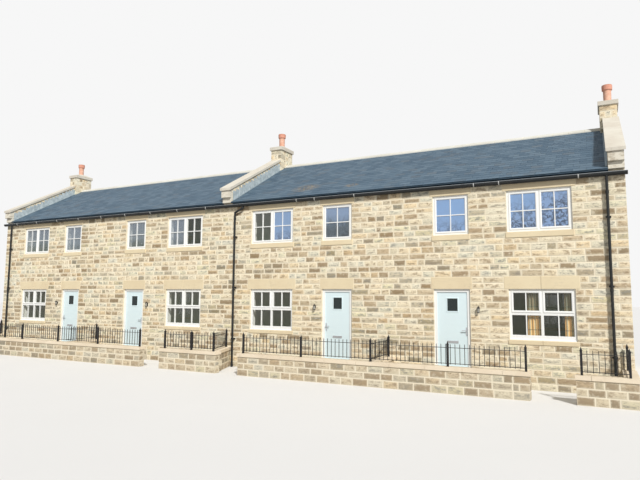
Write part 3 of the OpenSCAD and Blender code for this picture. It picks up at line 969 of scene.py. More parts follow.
class Batch:
    """Simple solids gathered into one mesh; depths are measured behind its wall face."""

    def __init__(self, wall: Plane = FRONT) -> None:
        """Starts empty on a wall face."""
        self.work = bmesh.new()
        self.wall = wall

    def box(self, low: Vector | Triple, high: Vector | Triple) -> None:
        """Adds a box between two corners.

        Args:
            low, high: The corners.
        """
        low, high = Vector(low), Vector(high)
        place = Matrix.Translation((low + high) / 2) @ Matrix.Diagonal((*(high - low), 1))
        bmesh.ops.create_cube(self.work, size=1, matrix=place)

    def ring(self, rect: Rect, profile: tuple[Pair, ...]) -> None:
        """Sweeps a closed profile round an upright rectangle, mitred at its corners.

        Args:
            rect: The outer rectangle.
            profile: Points (inset from the rectangle, depth).
        """
        loops = []
        for inset, depth in profile:
            y = self.wall.at(depth)
            a, b, low, high = rect[0] + inset, rect[1] - inset, rect[2] + inset, rect[3] - inset
            corners = ((a, low), (b, low), (b, high), (a, high))
            loops.append([self.work.verts.new((x, y, z)) for x, z in corners])
        for a, b in zip(loops, loops[1:] + loops[:1]):
            for i in range(4):
                j = (i + 1) % 4
                self.work.faces.new((a[i], a[j], b[j], b[i]))

    def slab(self, rect: Rect, near: float, far: float) -> None:
        """Fills an upright rectangle between two depths.

        Args:
            rect: The rectangle.
            near, far: The depths.
        """
        x0, x1, z0, z1 = rect
        y0, y1 = sorted((self.wall.at(near), self.wall.at(far)))
        self.box((x0, y0, z0), (x1, y1, z1))

    def prism(self, outline: list[Vector], along: Vector) -> None:
        """Adds the solid that a flat outline sweeps along a straight way.

        Args:
            outline: The outline's points.
            along: The way.
        """
        near = [self.work.verts.new(p) for p in outline]
        far = [self.work.verts.new(p + along) for p in outline]
        self.work.faces.new(near)
        self.work.faces.new(far[::-1])
        for i in range(len(near)):
            j = (i + 1) % len(near)
            self.work.faces.new((near[j], near[i], far[i], far[j]))

    def run(self, x: float, outline: list[Pair], length: float) -> None:
        """Adds the solid that an outline of (y, z) points sweeps along x, from x on."""
        self.prism([Vector((x, y, z)) for y, z in outline], Vector((length, 0, 0)))

    def lathe(self, centre: Vector, profile: tuple[Pair, ...], sides: int = 24) -> None:
        """Turns an outline of (radius, height) points about an upright axis into a closed solid.

        Args:
            centre: The axis's foot.
            profile: The outline.
            sides: Number of sides.
        """
        turns = [2 * math.pi * k / sides for k in range(sides)]
        loops = []
        for radius, height in profile:
            around = turns if radius > 1e-6 else turns[:1]
            places = [Vector((radius * math.cos(a), radius * math.sin(a), height)) for a in around]
            loops.append([self.work.verts.new(centre + p) for p in places])
        for a, b in zip(loops, loops[1:]):
            for i in range(sides):
                j = (i + 1) % sides
                ring = [a[i % len(a)], a[j % len(a)], b[j % len(b)], b[i % len(b)]]
                unique = list(dict.fromkeys(ring))
                if len(unique) > 2:
                    self.work.faces.new(unique)
        for rim in (loops[0], loops[-1]):
            if len(rim) > 2:
                self.work.faces.new(rim)

    def piece(self, name: str, material: Material, slot: str,
              body: str = ROOT_BODY) -> bpy.types.Object:
        """Ends the batch and makes one piece of it, as new_piece does."""
        return new_piece(name, to_mesh(self.work, name), material, body)


# Geometry Nodes

class Recipe:
    """A Geometry Nodes tree with named inputs; it is run once on a carrier and leaves a plain mesh."""

    def __init__(self, name: str, numbers: dict[str, float]) -> None:
        """Makes the tree's group input and output.

        Args:
            name: The tree's name.
            numbers: The named inputs and their values.
        """
        self.tree = bpy.data.node_groups.new(name, "GeometryNodeTree")
        sockets = [("Geometry", "INPUT", "Geometry"), ("Geometry", "OUTPUT", "Geometry"),
                   ("Finish", "INPUT", "Material"), *((key, "INPUT", "Float") for key in numbers)]
        for key, way, kind in sockets:
            self.tree.interface.new_socket(key, in_out=way, socket_type="NodeSocket" + kind)
        self.numbers = numbers
        self.graph = Graph(self.tree)
        self.inputs = self.graph.add("NodeGroupInput")

    def __getitem__(self, name: str) -> Wire:
        """The wire of a named input."""
        return Wire(self.graph, self.inputs.outputs[name])

    def stored(self, name: str, kind: str = "FLOAT") -> Wire:
        """The wire of an attribute that the carrier's points have."""
        return self.graph.wire("GeometryNodeInputNamedAttribute", {"data_type": kind}, {"Name": name})

    def close(self, geometry: Wire) -> None:
        """Realizes the instances, sets the finish and joins the group's output.

        Args:
            geometry: What the recipe has made.
        """
        real = self.graph.wire("GeometryNodeRealizeInstances", None, {"Geometry": geometry})
        done = self.graph.wire("GeometryNodeSetMaterial", None,
                               {"Geometry": real, "Material": self["Finish"]})
        self.graph.add("NodeGroupOutput", None, {"Geometry": done})

    def run(self, carrier: Mesh, material: Material, name: str, **numbers: float) -> Mesh:
        """Runs the tree.

        Args:
            carrier: The mesh whose points the tree reads.
            material: The finish that it sets.
            name: The result's name.
            numbers: Inputs that differ from the recipe's own values, by name.

        Returns:
            The plain mesh.
        """
        worker = bpy.data.objects.new(name + "_carrier", carrier)
        link(worker)
        modifier = worker.modifiers.new("recipe", "NODES")
        modifier.node_group = self.tree
        values = {**self.numbers, **numbers}
        for item in self.tree.interface.items_tree:
            if item.in_out == "INPUT" and item.name in values:
                modifier[item.identifier] = float(values[item.name])
            elif item.in_out == "INPUT" and item.name == "Finish":
                modifier[item.identifier] = material
        graph = bpy.context.evaluated_depsgraph_get()
        mesh = bpy.data.meshes.new_from_object(worker.evaluated_get(graph), depsgraph=graph)
        worker.modifiers.remove(modifier)
        bpy.data.objects.remove(worker)
        mesh.name = name
        return mesh


def carrier_mesh(name: str, points: np.ndarray, numbers: dict[str, np.ndarray]) -> Mesh:
    """Makes a mesh of loose points that carry named numbers or vectors.

    Args:
        name: The mesh's name.
        points: One row of x, y, z for each point.
        numbers: An array for each attribute, flat for numbers and with three columns for vectors.

    Returns:
        The mesh.
    """
    mesh = bpy.data.meshes.new(name)
    mesh.from_pydata([tuple(p) for p in points], [], [])
    for key, values in numbers.items():
        vectors = values.ndim == 2
        attribute = mesh.attributes.new(key, "FLOAT_VECTOR" if vectors else "FLOAT", "POINT")
        flat = values.astype(np.float32).ravel()
        attribute.data.foreach_set("vector" if vectors else "value", flat)
    return mesh


def stone_recipe() -> Recipe:
    """Lays one rock-faced block on each point, closed all round, with sides that reach into the wall.

    Each point carries half (half length, depth of the sides, half height), turn, tone and tint. The
    blocks are cut to the lines Top and Bottom, which sink by Fall and Foot away from the ridge.

    Returns:
        The recipe.
    """
    r = Recipe("rock_faced_stones", {"Chamfer": 0.007, "Proud": 0.012, "Relief": 0.010, "Ridge": 0.0,
                                     "Fall": 0.0, "Foot": 0.0, "Top": 100.0, "Bottom": -1.0})
    g = r.graph
    seat = store_vector(g, r["Geometry"], "seat", g.wire("GeometryNodeInputPosition"))

    # One block with a bent front and a flat back; "local" is (along, up, 1 at the back)
    block = g.wire("GeometryNodeMeshCube", None, {"Vertices X": 4, "Vertices Y": 2, "Vertices Z": 3})
    along, depth, up = g.split(g.wire("GeometryNodeInputPosition"))
    rear = depth > 0.0
    u = along * (rear * (along.abs() > 0.4) * (1.0 - 2 * RIM_U) + 2 * RIM_U)
    v = up * (rear * (up.abs() > 0.4) * (1.0 - 2 * RIM_V) + 2 * RIM_V)
    block = store_vector(g, block, "local", g.combine(u, v, rear))
    blocks = g.wire("GeometryNodeInstanceOnPoints", None, {"Points": seat, "Instance": block})
    real = g.wire("GeometryNodeRealizeInstances", None, {"Geometry": blocks})

    # Its size, its rim and the swelling of its face
    u, v, outer = g.split(r.stored("local", "FLOAT_VECTOR"))
    half_u, deep, half_v = g.split(r.stored("half", "FLOAT_VECTOR"))
    a, b = (u / RIM_U).clamp(-1.0, 1.0), (v / RIM_V).clamp(-1.0, 1.0)
    edge = (a.abs() > 0.99).maths("MAXIMUM", b.abs() > 0.99) * (1.0 - outer)
    inner = 1.0 - outer - edge
    inset = r["Chamfer"] * (1.0 - outer)
    x = a * (half_u - inset)
    z = b * (half_v - inset)
    seat_place = r.stored("seat", "FLOAT_VECTOR")
    rough = g.wire("ShaderNodeTexNoise", None,
                   {"Vector": g.vector("ADD", seat_place, g.combine(x, 0.0, z)),
                    "Scale": 11.0, "Detail": 2.0})
    swell = inner * (r["Proud"] + (rough - 0.35) * r["Relief"] * 1.6) + edge * r["Proud"] * 0.55

    # Its place, and the cut along the slopes
    turned = g.wire("ShaderNodeVectorRotate", {"rotation_type": "Z_AXIS"},
                    {"Vector": g.combine(x, outer * deep - swell, z), "Angle": r.stored("turn")})
    px, py, pz = g.split(g.vector("ADD", seat_place, turned))
    away = (py - r["Ridge"]).abs()
    pz = pz.maths("MINIMUM", r["Top"] - away * r["Fall"])
    pz = pz.maths("MAXIMUM", r["Bottom"] - away * r["Foot"])
    laid = g.wire("GeometryNodeSetPosition", None,
                  {"Geometry": real, "Position": g.combine(px, py, pz)})
    r.close(g.wire("GeometryNodeMergeByDistance", None, {"Geometry": laid, "Distance": 0.0002}))
    return r


def store_vector(g: Graph, geometry: Wire, name: str, value: Wire) -> Wire:
    """Stores a vector on the points of a geometry under a name."""
    return g.wire("GeometryNodeStoreNamedAttribute", {"data_type": "FLOAT_VECTOR", "domain": "POINT"},
                  {"Geometry": geometry, "Name": name, "Value": value})


def lay_on(r: Recipe, shape: Wire, angles: Wire | Triple, scale: Wire | Triple = (1, 1, 1)) -> Wire:
    """Lays one shape, turned by angles and scaled, on each point of the carrier.

    Args:
        r: The recipe.
        shape: The shape.
        angles: Its turn, one for all or a wire.
        scale: Its scale, one for all or a wire.

    Returns:
        The wire of the laid shapes.
    """
    turn = r.graph.wire("FunctionNodeEulerToRotation", None, {0: angles})
    return r.graph.wire("GeometryNodeInstanceOnPoints", None,
                        {"Points": r["Geometry"], "Instance": shape, "Scale": scale, "Rotation": turn})


def slab_recipe() -> Recipe:
    """Lays one thin slab on each point; size and angles are on the points, x is cut at Left and Right.

    Returns:
        The recipe.
    """
    r = Recipe("laid_slabs", {"Left": -100.0, "Right": 100.0})
    g = r.graph
    slab = g.wire("GeometryNodeMeshCube", None, {"Size": (1.0, 1.0, 1.0)})
    laid = lay_on(r, slab, r.stored("angles", "FLOAT_VECTOR"), r.stored("size", "FLOAT_VECTOR"))
    real = g.wire("GeometryNodeRealizeInstances", None, {"Geometry": laid})
    x, y, z = g.split(g.wire("GeometryNodeInputPosition"))
    x = x.maths("MAXIMUM", r["Left"]).maths("MINIMUM", r["Right"])
    r.close(g.wire("GeometryNodeSetPosition", None,
                   {"Geometry": real, "Position": g.combine(x, y, z)}))
    return r


def spear_recipe() -> Recipe:
    """Stands a small four-sided point on each carrier point.

    Returns:
        The recipe.
    """
    r = Recipe("spear_points", {"Width": 0.0095, "Height": 0.030})
    tip = r.graph.wire("GeometryNodeMeshCone", {"fill_type": "NGON"},
                       {"Vertices": 4, "Radius Top": 0.0, "Radius Bottom": r["Width"],
                        "Depth": r["Height"]})
    r.close(lay_on(r, tip, (0.0, 0.0, math.pi / 4)))
    return r


# Stonework

class End(Enum):
    """How a wall face ends: open, with quoins of its own, or against the quoins of its neighbours."""

    OPEN = "open"
    QUOIN = "quoin"
    BUTT = "butt"


# An opening or block in a face, as Face describes it
Hole = tuple[float, float, float, float, float]


@dataclass
class Face:
    """One upright wall face that is laid with stones.

    x and y are the foot of its left end as seen from outside; u runs to the right from there. A
    hole is (u0, u1, z0, z1, how far its jambs show). A slope is (u of the ridge, top there, height
    of the slates there) where a gable's courses stop.
    """

    x: float
    y: float
    turn: float
    length: float
    levels: list[float]
    end: End = End.OPEN
    first_course: int = 0
    holes: list[Hole] = field(default_factory=list)
    slope: Triple | None = None


@dataclass
class Mason:
    """Lays stones in courses with uneven lengths, closing on the openings and the corners."""

    seed: int
    joint: float = 0.018
    short: float = 0.15
    usual: float = 0.36
    long: float = 0.60
    quoin: Pair = (0.40, 0.24)
    corner: float = 0.012
    bed: float = 0.004
    least: float = 0.05
    brown: float = 0.27
    seats: list[Triple] = field(default_factory=list)
    halves: list[Triple] = field(default_factory=list)
    turns: list[float] = field(default_factory=list)

    def __post_init__(self) -> None:
        """Starts the mason's own random draws."""
        self.rng = np.random.default_rng(self.seed)

    def stone(self, face: Face, u0: float, u1: float, z0: float, z1: float, deep: float) -> None:
        """Adds one stone between two places along a face and two heights.

        Args:
            face: The wall face.
            u0, u1: Its ends along the face.
            z0, z1: Its heights.
            deep: How far its sides reach into the wall.
        """
        across = Vector((math.cos(face.turn), math.sin(face.turn), 0))
        seat = Vector((face.x, face.y, 0)) + across * (u0 + u1) / 2
        self.seats.append((seat.x, seat.y, (z0 + z1) / 2))
        self.halves.append(((u1 - u0) / 2, deep, (z1 - z0) / 2))
        self.turns.append(face.turn)

    def lengths(self, total: float) -> list[float]:
        """Divides a stretch into stone lengths.

        Args:
            total: The stretch.

        Returns:
            The lengths.
        """
        cuts = []
        left = total
        while left > self.long * 1.25:
            size = float(self.rng.triangular(self.short, self.usual, self.long))
            cuts.append(size)
            left -= size
        if left > self.long * 0.95:
            share = float(self.rng.uniform(0.36, 0.64))
            cuts += [left * share, left * (1 - share)]
        else:
            cuts.append(left)
        return cuts

    def lay(self, face: Face) -> None:
        """Lays every course of a face.

        Args:
            face: The wall face.
        """
        gap = self.joint / 2
        for course, (z0, z1) in enumerate(zip(face.levels, face.levels[1:]), face.first_course):
            lead, back = self.quoin[course % 2], self.quoin[(course + 1) % 2]
            left, right = 0.0, face.length
            if face.end is End.QUOIN:
                z = (z0 + gap, z1 - gap, back - gap)
                self.stone(face, -self.corner, lead - gap, *z)
                self.stone(face, face.length - lead + gap, face.length + self.corner, *z)
                left, right = lead, face.length - lead
            elif face.end is End.BUTT:
                left, right = back, face.length - back
            blocked = sorted((h[0], h[1], h[4]) for h in face.holes
                             if h[2] < z1 - 0.02 and h[3] > z0 + 0.02)
            start, jamb = left, 0.0
            for h0, h1, deep in [*blocked, (right, right, 0.0)]:
                h0, h1 = max(min(h0, right), left), max(min(h1, right), left)
                if h0 - start > self.least:
                    self.stretch(face, start, h0, z0, z1, jamb, deep)
                start, jamb = max(start, h1), deep

    def stretch(self, face: Face, u0: float, u1: float, z0: float, z1: float, left_deep: float,
                right_deep: float) -> None:
        """Fills one stretch of a course; a deep end is a jamb whose side face shows.

        Args:
            face: The wall face.
            u0, u1: The stretch along the face.
            z0, z1: The course's two heights.
            left_deep, right_deep: How far the jambs at its ends show, or 0.
        """
        gap = self.joint / 2
        sizes = self.lengths(u1 - u0)
        at = u0
        for i, size in enumerate(sizes):
            a, b, deep = at + gap, at + size - gap, self.bed
            if i == 0 and left_deep:
                a, deep = at - self.bed, left_deep
            if i == len(sizes) - 1 and right_deep:
                b, deep = at + size + self.bed, right_deep
            at += size
            if not self.off_slope(face, a, b, z0, z1):
                self.stone(face, a, b, z0 + gap, z1 - gap, deep)

    def off_slope(self, face: Face, a: float, b: float, z0: float, z1: float) -> bool:
        """Whether a stone would stand above a gable's slope or under its slates.

        Args:
            face: The wall face.
            a, b: The stone's ends along the face.
            z0, z1: Its heights.

        Returns:
            Whether it is left out.
        """
        if not face.slope:
            return False
        ridge_u, top, bottom = face.slope
        beside = (a - ridge_u) * (b - ridge_u) > 0
        ends = sorted((abs(a - ridge_u), abs(b - ridge_u)))
        near = ends[0] if beside else 0.0
        return z0 > top - ROW.parapet_fall * near - 0.03 or z1 < bottom - FALL * ends[1] + 0.03

    def carrier(self, name: str) -> Mesh:
        """Makes the carrier mesh, with a share of dark stones.

        Args:
            name: The mesh's name.

        Returns:
            The mesh.
        """
        count = len(self.seats)
        tone = self.rng.uniform(0.25, 1.0, count)
        dark = self.rng.uniform(0, 1, count) < self.brown
        tone[dark] = self.rng.uniform(0.0, 0.3, int(dark.sum()))
        return carrier_mesh(name, np.array(self.seats),
                            {"half": np.array(self.halves), "turn": np.array(self.turns),
                             "tone": tone, "tint": self.rng.uniform(0, 1, count)})


@dataclass
class Masonry:
    """All rubble stonework: house walls, parapets, chimney stacks and garden walls.

    A return is a garden wall that runs back to the house, as the x of its middle line at the wall
    along the front and at the house.
    """

    finishes: Finishes
    course: float = 0.16
    jamb: float = 0.036
    under_coping: float = 0.012
    garden_thick: float = 0.24
    coping_lip: float = 0.03
    returns: tuple[Pair, ...] = ((-PAIR_LINE, -PAIR_LINE), (0.77, 0.17), (5.94, 5.94))
    reach: float = 1.5
    deep: float = 1.38
    recipe: Recipe = field(default_factory=stone_recipe)

    def levels(self, keys: list[float], seed: int) -> list[float]:
        """Sets course heights so that the key heights fall on bed joints.

        Args:
            keys: Heights that courses must meet, in rising order.
            seed: Seed of the small differences.

        Returns:
            All course heights.
        """
        rng = np.random.default_rng(seed)
        heights = [keys[0]]
        for low, high in zip(keys, keys[1:]):
            count = max(1, round((high - low) / self.course))
            shares = rng.uniform(0.88, 1.12, count)
            heights += list(low + (high - low) * np.cumsum(shares) / shares.sum())
        return heights

    def holes(self, wall: Plane) -> list[Hole]:
        """The openings and dressed blocks of a house wall's face.

        Args:
            wall: The wall face.

        Returns:
            The holes.
        """
        found = []
        for node, jamb in (("window_frames", self.jamb), ("door_frames", self.jamb), ("lintels", 0.0),
                           ("window_sills", 0.0), ("door_sills", 0.0)):
            for low, high in solid_boxes(node):
                if outside(low) == wall:
                    u0, u1 = sorted(ROW.end + wall.side * x for x in (low.x, high.x))
                    found.append((u0, u1, 0.0 if node == "door_frames" else low.z, high.z, jamb))
        return found

    def keys(self) -> list[float]:
        """Heights of sills and lintels, which the courses meet.

        Returns:
            The heights, in rising order.
        """
        heights = {0.0, round(ROW.wall_top, 3)}
        for node in ("window_sills", "lintels"):
            for low, high in solid_boxes(node):
                heights |= {round(low.z, 3), round(high.z, 3)}
        merged = []
        for z in sorted(heights):
            if not merged or z - merged[-1] > 0.07:
                merged.append(z)
        return merged

    def house_walls(self) -> None:
        """Front, back and both gable ends."""
        levels = self.levels(self.keys(), 5)
        for name, wall, turn, seed in (("front_wall_stones", FRONT, 0.0, 11),
                                       ("back_wall_stones", BACK, math.pi, 12)):
            face = Face(-wall.side * ROW.end, wall.y, turn, 2 * ROW.end, levels, End.QUOIN,
                        holes=self.holes(wall))
            self.lay(name, [face], Mason(seed))
        tall = levels + self.levels([levels[-1], ROW.parapet_top], 6)[1:]
        for name, side, seed in (("right_gable_stones", 1, 13), ("left_gable_stones", -1, 14)):
            face = self.across_row(side * ROW.end, side, tall, End.BUTT, -1.0)
            self.lay(name, [face], Mason(seed), Ridge=ROW.ridge_y, Fall=ROW.parapet_fall,
                     Top=ROW.parapet_top - self.under_coping)

    def across_row(self, x: float, side: int, levels: list[float], end: End, slates: float) -> Face:
        """A gable's face from front to back.

        Args:
            x: Its place.
            side: 1 where it faces right, -1 where it faces left.
            levels: Its course heights.
            end: How it ends.
            slates: Height of the slates against it at the ridge, or -1 where it has none.

        Returns:
            The face.
        """
        depth = ROW.back - ROW.front
        start = ROW.front if side > 0 else ROW.back
        return Face(x, start, side * math.pi / 2, depth, levels, end,
                    slope=(depth / 2, ROW.parapet_top - 0.01, slates))

    def parapets(self) -> None:
        """The faces of the gable walls that show above the slates."""
        levels = self.levels([ROW.wall_top, ROW.parapet_top], 7)
        faces = [self.across_row(x, side, levels, End.OPEN, ROW.slate_top + 0.03)
                 for x, side in PARAPETS]
        self.lay("parapet_stones", faces, Mason(15, brown=0.15), Ridge=ROW.ridge_y,
                 Fall=ROW.parapet_fall, Foot=FALL, Top=ROW.parapet_top - self.under_coping,
                 Bottom=ROW.slate_top + 0.02, Proud=0.008)

    def stacks(self) -> None:
        """The four faces of each chimney stack."""
        faces = []
        for low, high in solid_boxes("chimney_stacks"):
            levels = self.levels([ROW.slate_at(low.y), high.z], 8)
            wide, deep = high.x - low.x, high.y - low.y
            faces += [Face(low.x, low.y, 0.0, wide, levels, End.QUOIN),
                      Face(high.x, high.y, math.pi, wide, levels, End.QUOIN, 1),
                      Face(high.x, low.y, math.pi / 2, deep, levels, End.BUTT),
                      Face(low.x, high.y, -math.pi / 2, deep, levels, End.BUTT)]
        mason = Mason(16, quoin=(0.30, 0.15), usual=0.24, long=0.36, brown=0.18)
        self.lay("chimney_stones", faces, mason, Ridge=ROW.ridge_y, Foot=FALL, Bottom=ROW.slate_top,
                 Proud=0.010)

    def garden_walls(self) -> None:
        """Both faces and the free ends of the low garden walls."""
        faces = []
        for node in ("garden_wall_left", "garden_wall_middle", "garden_wall_right"):
            for low, high in solid_boxes(node):
                faces += self.garden_faces(low, high)
        for foot, head in self.returns:
            faces += self.return_faces(foot, head)
        mason = Mason(17, joint=0.02, short=0.30, usual=0.38, long=0.48, quoin=(0.36, 0.22), brown=0.5)
        self.lay("garden_wall_stones", faces, mason, self.finishes.block, Proud=0.010)

    def garden_faces(self, low: Vector, high: Vector) -> list[Face]:
        """Faces of one garden wall that runs along the front, and of its returns to the house.

        Args:
            low, high: The wall's corners.

        Returns:
            The faces.
        """
        levels = self.levels([0.0, high.z], 9)
        thick, length, depth = self.garden_thick, high.x - low.x, high.y - low.y
        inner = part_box("garden_copings")[0].y + self.coping_lip + thick
        at_left, at_right = low.x < -ROW.end + 0.1, high.x > ROW.end - 0.1
        left = (high.y, depth) if at_left else (low.y + thick, thick)
        return [Face(low.x, low.y, 0.0, length, levels, End.QUOIN),
                Face(high.x, low.y, math.pi / 2, depth if at_right else thick, levels),
                Face(low.x, left[0], -math.pi / 2, left[1], levels),
                Face(high.x, inner, math.pi, length, levels)]

    def return_faces(self, foot: float, head: float) -> list[Face]:
        """Both sides of a garden wall that runs back to the house.

        Args:
            foot: Its middle line's x at the wall along the front.
            head: Its middle line's x at the house.

        Returns:
            The two faces.
        """
        levels = self.levels([0.0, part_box("garden_wall_middle")[1].z], 10)
        near = foot + (head - foot) * (self.reach - self.deep) / self.reach
        turn = math.atan2(self.reach, head - foot)
        length = self.deep / math.sin(turn)
        half = self.garden_thick / 2
        return [Face(near + half, ROW.front - self.deep, turn, length, levels),
                Face(head - half, ROW.front, turn - math.pi, length, levels)]

    def lay(self, name: str, faces: list[Face], mason: Mason, material: Material | None = None,
            **numbers: float) -> None:
        """Lays some faces and makes one piece of them.

        Args:
            name: The piece's name.
            faces: The faces.
            mason: The mason who lays them.
            material: The finish, if it isn't that of the house walls.
            numbers: Inputs of the stone recipe that differ from its own values.
        """
        for face in faces:
            mason.lay(face)
        finish = material or self.finishes.stone
        mesh = self.recipe.run(mason.carrier(name + "_seats"), finish, name, **numbers)
        peel(mesh)
        new_piece(name, mesh, finish)

    def build(self) -> None:
        """Gives the walls' cores their pointing and lays all stonework."""
        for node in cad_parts:
            if node.startswith(("front_wall", "back_wall", "gable_wall", "party_wall", "garden_wall",
                                "chimney_stacks")):
                dress(node, self.finishes.mortar)
        self.house_walls()
        self.parapets()
        self.stacks()
        self.garden_walls()


# Roof

@dataclass
class SlateRoof:
    """Slates on both slopes, ridge stones and lead."""

    finishes: Finishes
    width: float = 0.30
    gauge: float = 0.205
    lap: float = 0.07
    thick: float = 0.007
    tilt: float = 0.022
    eave_lip: float = 0.02
    ridge_length: float = 0.45
    ridge_joint: float = 0.008
    lead_step: float = 0.10
    lead_rise: float = 0.25
    lead_strips: int = 3

    def slates(self) -> None:
        """Lays both slopes, each in two halves."""
        slabs = slab_recipe()
        halves = (("left", -ROW.outer, ROW.middle[0]), ("right", ROW.middle[1], ROW.outer))
        for slope, side, seed in (("front", -1, 21), ("back", 1, 22)):
            rng = np.random.default_rng(seed)
            for half, start, end in halves:
                name = f"{slope}_slates_{half}"
                mesh = slabs.run(self.seats(rng, side, start, end), self.finishes.slate, name,
                                 Left=start + 0.002, Right=end - 0.002)
                new_piece(name, mesh, self.finishes.slate)
            dress(f"roof_{slope}", self.finishes.slate)

    def seats(self, rng: np.random.Generator, side: int, start: float, end: float) -> Mesh:
        """Sets out the slates of half a slope in rows with broken joints.

        Args:
            rng: The slope's random draws.
            side: -1 on the front slope, 1 on the back.
            start, end: The half's two ends.

        Returns:
            The carrier of its slates.
        """
        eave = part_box("roof_front")[0].y if side < 0 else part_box("roof_back")[1].y
        reach = abs(ROW.ridge_y - eave) / math.cos(PITCH)
        rows = int(reach / self.gauge)
        step = (reach - 0.08) / rows
        places, sizes, angles = [], [], []
        for row in range(rows + 1):
            length = step + self.lap if row < rows else reach - row * step
            along = row * step + length / 2 - self.eave_lip
            y = eave - side * along * math.cos(PITCH)
            z = ROW.slate_at(y) + 0.009
            for k in range(int((end - start) / self.width) + 2):
                x = start + (k + (row % 2) * 0.5) * self.width
                if start < x + self.width / 2 and x - self.width / 2 < end:
                    places.append((x + rng.uniform(-0.003, 0.003), y, z + rng.uniform(0, 0.0015)))
                    sizes.append((self.width - 0.005, length + rng.uniform(-0.006, 0.006), self.thick))
                    angles.append((-side * (PITCH - self.tilt), 0, rng.normal(0, 0.006)))
        count = len(places)
        return carrier_mesh("slate_seats", np.array(places),
                            {"size": np.array(sizes), "angles": np.array(angles),
                             "tone": rng.uniform(0, 1, count), "tint": rng.uniform(0, 1, count)})

    def ridge(self) -> None:
        """Lays ridge stones of even length with open joints on their bedding mortar."""
        stones, bedding = Batch(), Batch()
        rng = np.random.default_rng(23)
        for low, high in solid_boxes("ridge_tiles"):
            foot, top, half, length = low.z, high.z, (high.y - low.y) / 2, high.x - low.x
            count = round(length / self.ridge_length)
            step = length / count
            for i in range(count):
                drop = float(rng.uniform(0, 0.004))
                stones.run(low.x + i * step + self.ridge_joint / 2,
                           self.ridge_outline(foot, top - drop, half, 0.050), step - self.ridge_joint)
            bedding.run(low.x, self.ridge_outline(foot, top - 0.010, half - 0.008, 0.040), length)
        piece = stones.piece("ridge_stones", self.finishes.ridge, "dressed_stone")
        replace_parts(soften(piece, 0.006, 2, 20), "ridge_tiles")
        bedding.piece("ridge_bedding", self.finishes.mortar, "coursed_stone")

    def ridge_outline(self, foot: float, crown: float, half: float, thick: float) -> list[Pair]:
        """Outline of a ridge stone in y and z: two wings and a crown.

        Args:
            foot, crown: Its lowest and highest point.
            half: Half its width.
            thick: How thick its wings are.

        Returns:
            The points.
        """
        y = ROW.ridge_y
        return [(y - half, foot + 0.002), (y, crown - 0.066), (y + half, foot + 0.002),
                (y + half, foot + thick), (y + 0.03, crown - 0.008), (y, crown),
                (y - 0.03, crown - 0.008), (y - half, foot + thick)]

    def flashing(self) -> None:
        """Stepped cover flashings up each parapet and the strips beside them on the slates."""
        batch = Batch()
        step = self.lead_step / FALL
        steps = int((ROW.ridge_y - ROW.front - 0.42) / step)
        for x, inward in PARAPETS:
            for wall in (FRONT, BACK):
                for k in range(steps):
                    y0 = wall.at(k * step)
                    y1 = y0 + wall.side * (step + 0.02)
                    low0, low1 = ROW.slate_at(y0) + 0.014, ROW.slate_at(y1) + 0.014
                    top = low1 + self.lead_rise + 0.018 * math.sin(5.0 * k)
                    batch.run(x + inward * 0.012, [(y0, low0), (y1, low1), (y1, top), (y0, top)],
                              inward * (0.003 + 0.001 * (k % 3)))
                self.strip(batch, x, inward, wall)
        piece = batch.piece("lead_flashings", self.finishes.lead, "lead_flashing")
        soften(piece, 0.001, 1)

    def strip(self, batch: Batch, x: float, inward: float, wall: Plane) -> None:
        """Adds the lead that lies on the slates beside a parapet, in overlapping lengths.

        Args:
            batch: The mesh to add to.
            x: The parapet's face.
            inward: 1 or -1, from the face over the slates.
            wall: The wall face at the eave.
        """
        reach = ROW.ridge_y - ROW.front - 0.05
        a, b = x + inward * 0.013, x + inward * 0.06
        for k in range(self.lead_strips):
            lap = 0.05 * (k < self.lead_strips - 1)
            y0 = wall.at(reach * k / self.lead_strips)
            y1 = wall.at(reach * (k + 1) / self.lead_strips + lap)
            z = ROW.slate_at(y0) + (0.020 + 0.002 * ((k + 1) % 2))
            corners = ((a, z), (b, z), (b, z + 0.003), (a, z + 0.003))
            batch.prism([Vector((c, y0, height)) for c, height in corners],
                        Vector((0, y1 - y0, ROW.slate_at(y1) - ROW.slate_at(y0))))

    def build(self) -> None:
        """Builds the whole roof covering."""
        self.slates()
        self.ridge()
        self.flashing()


# Dressed stone

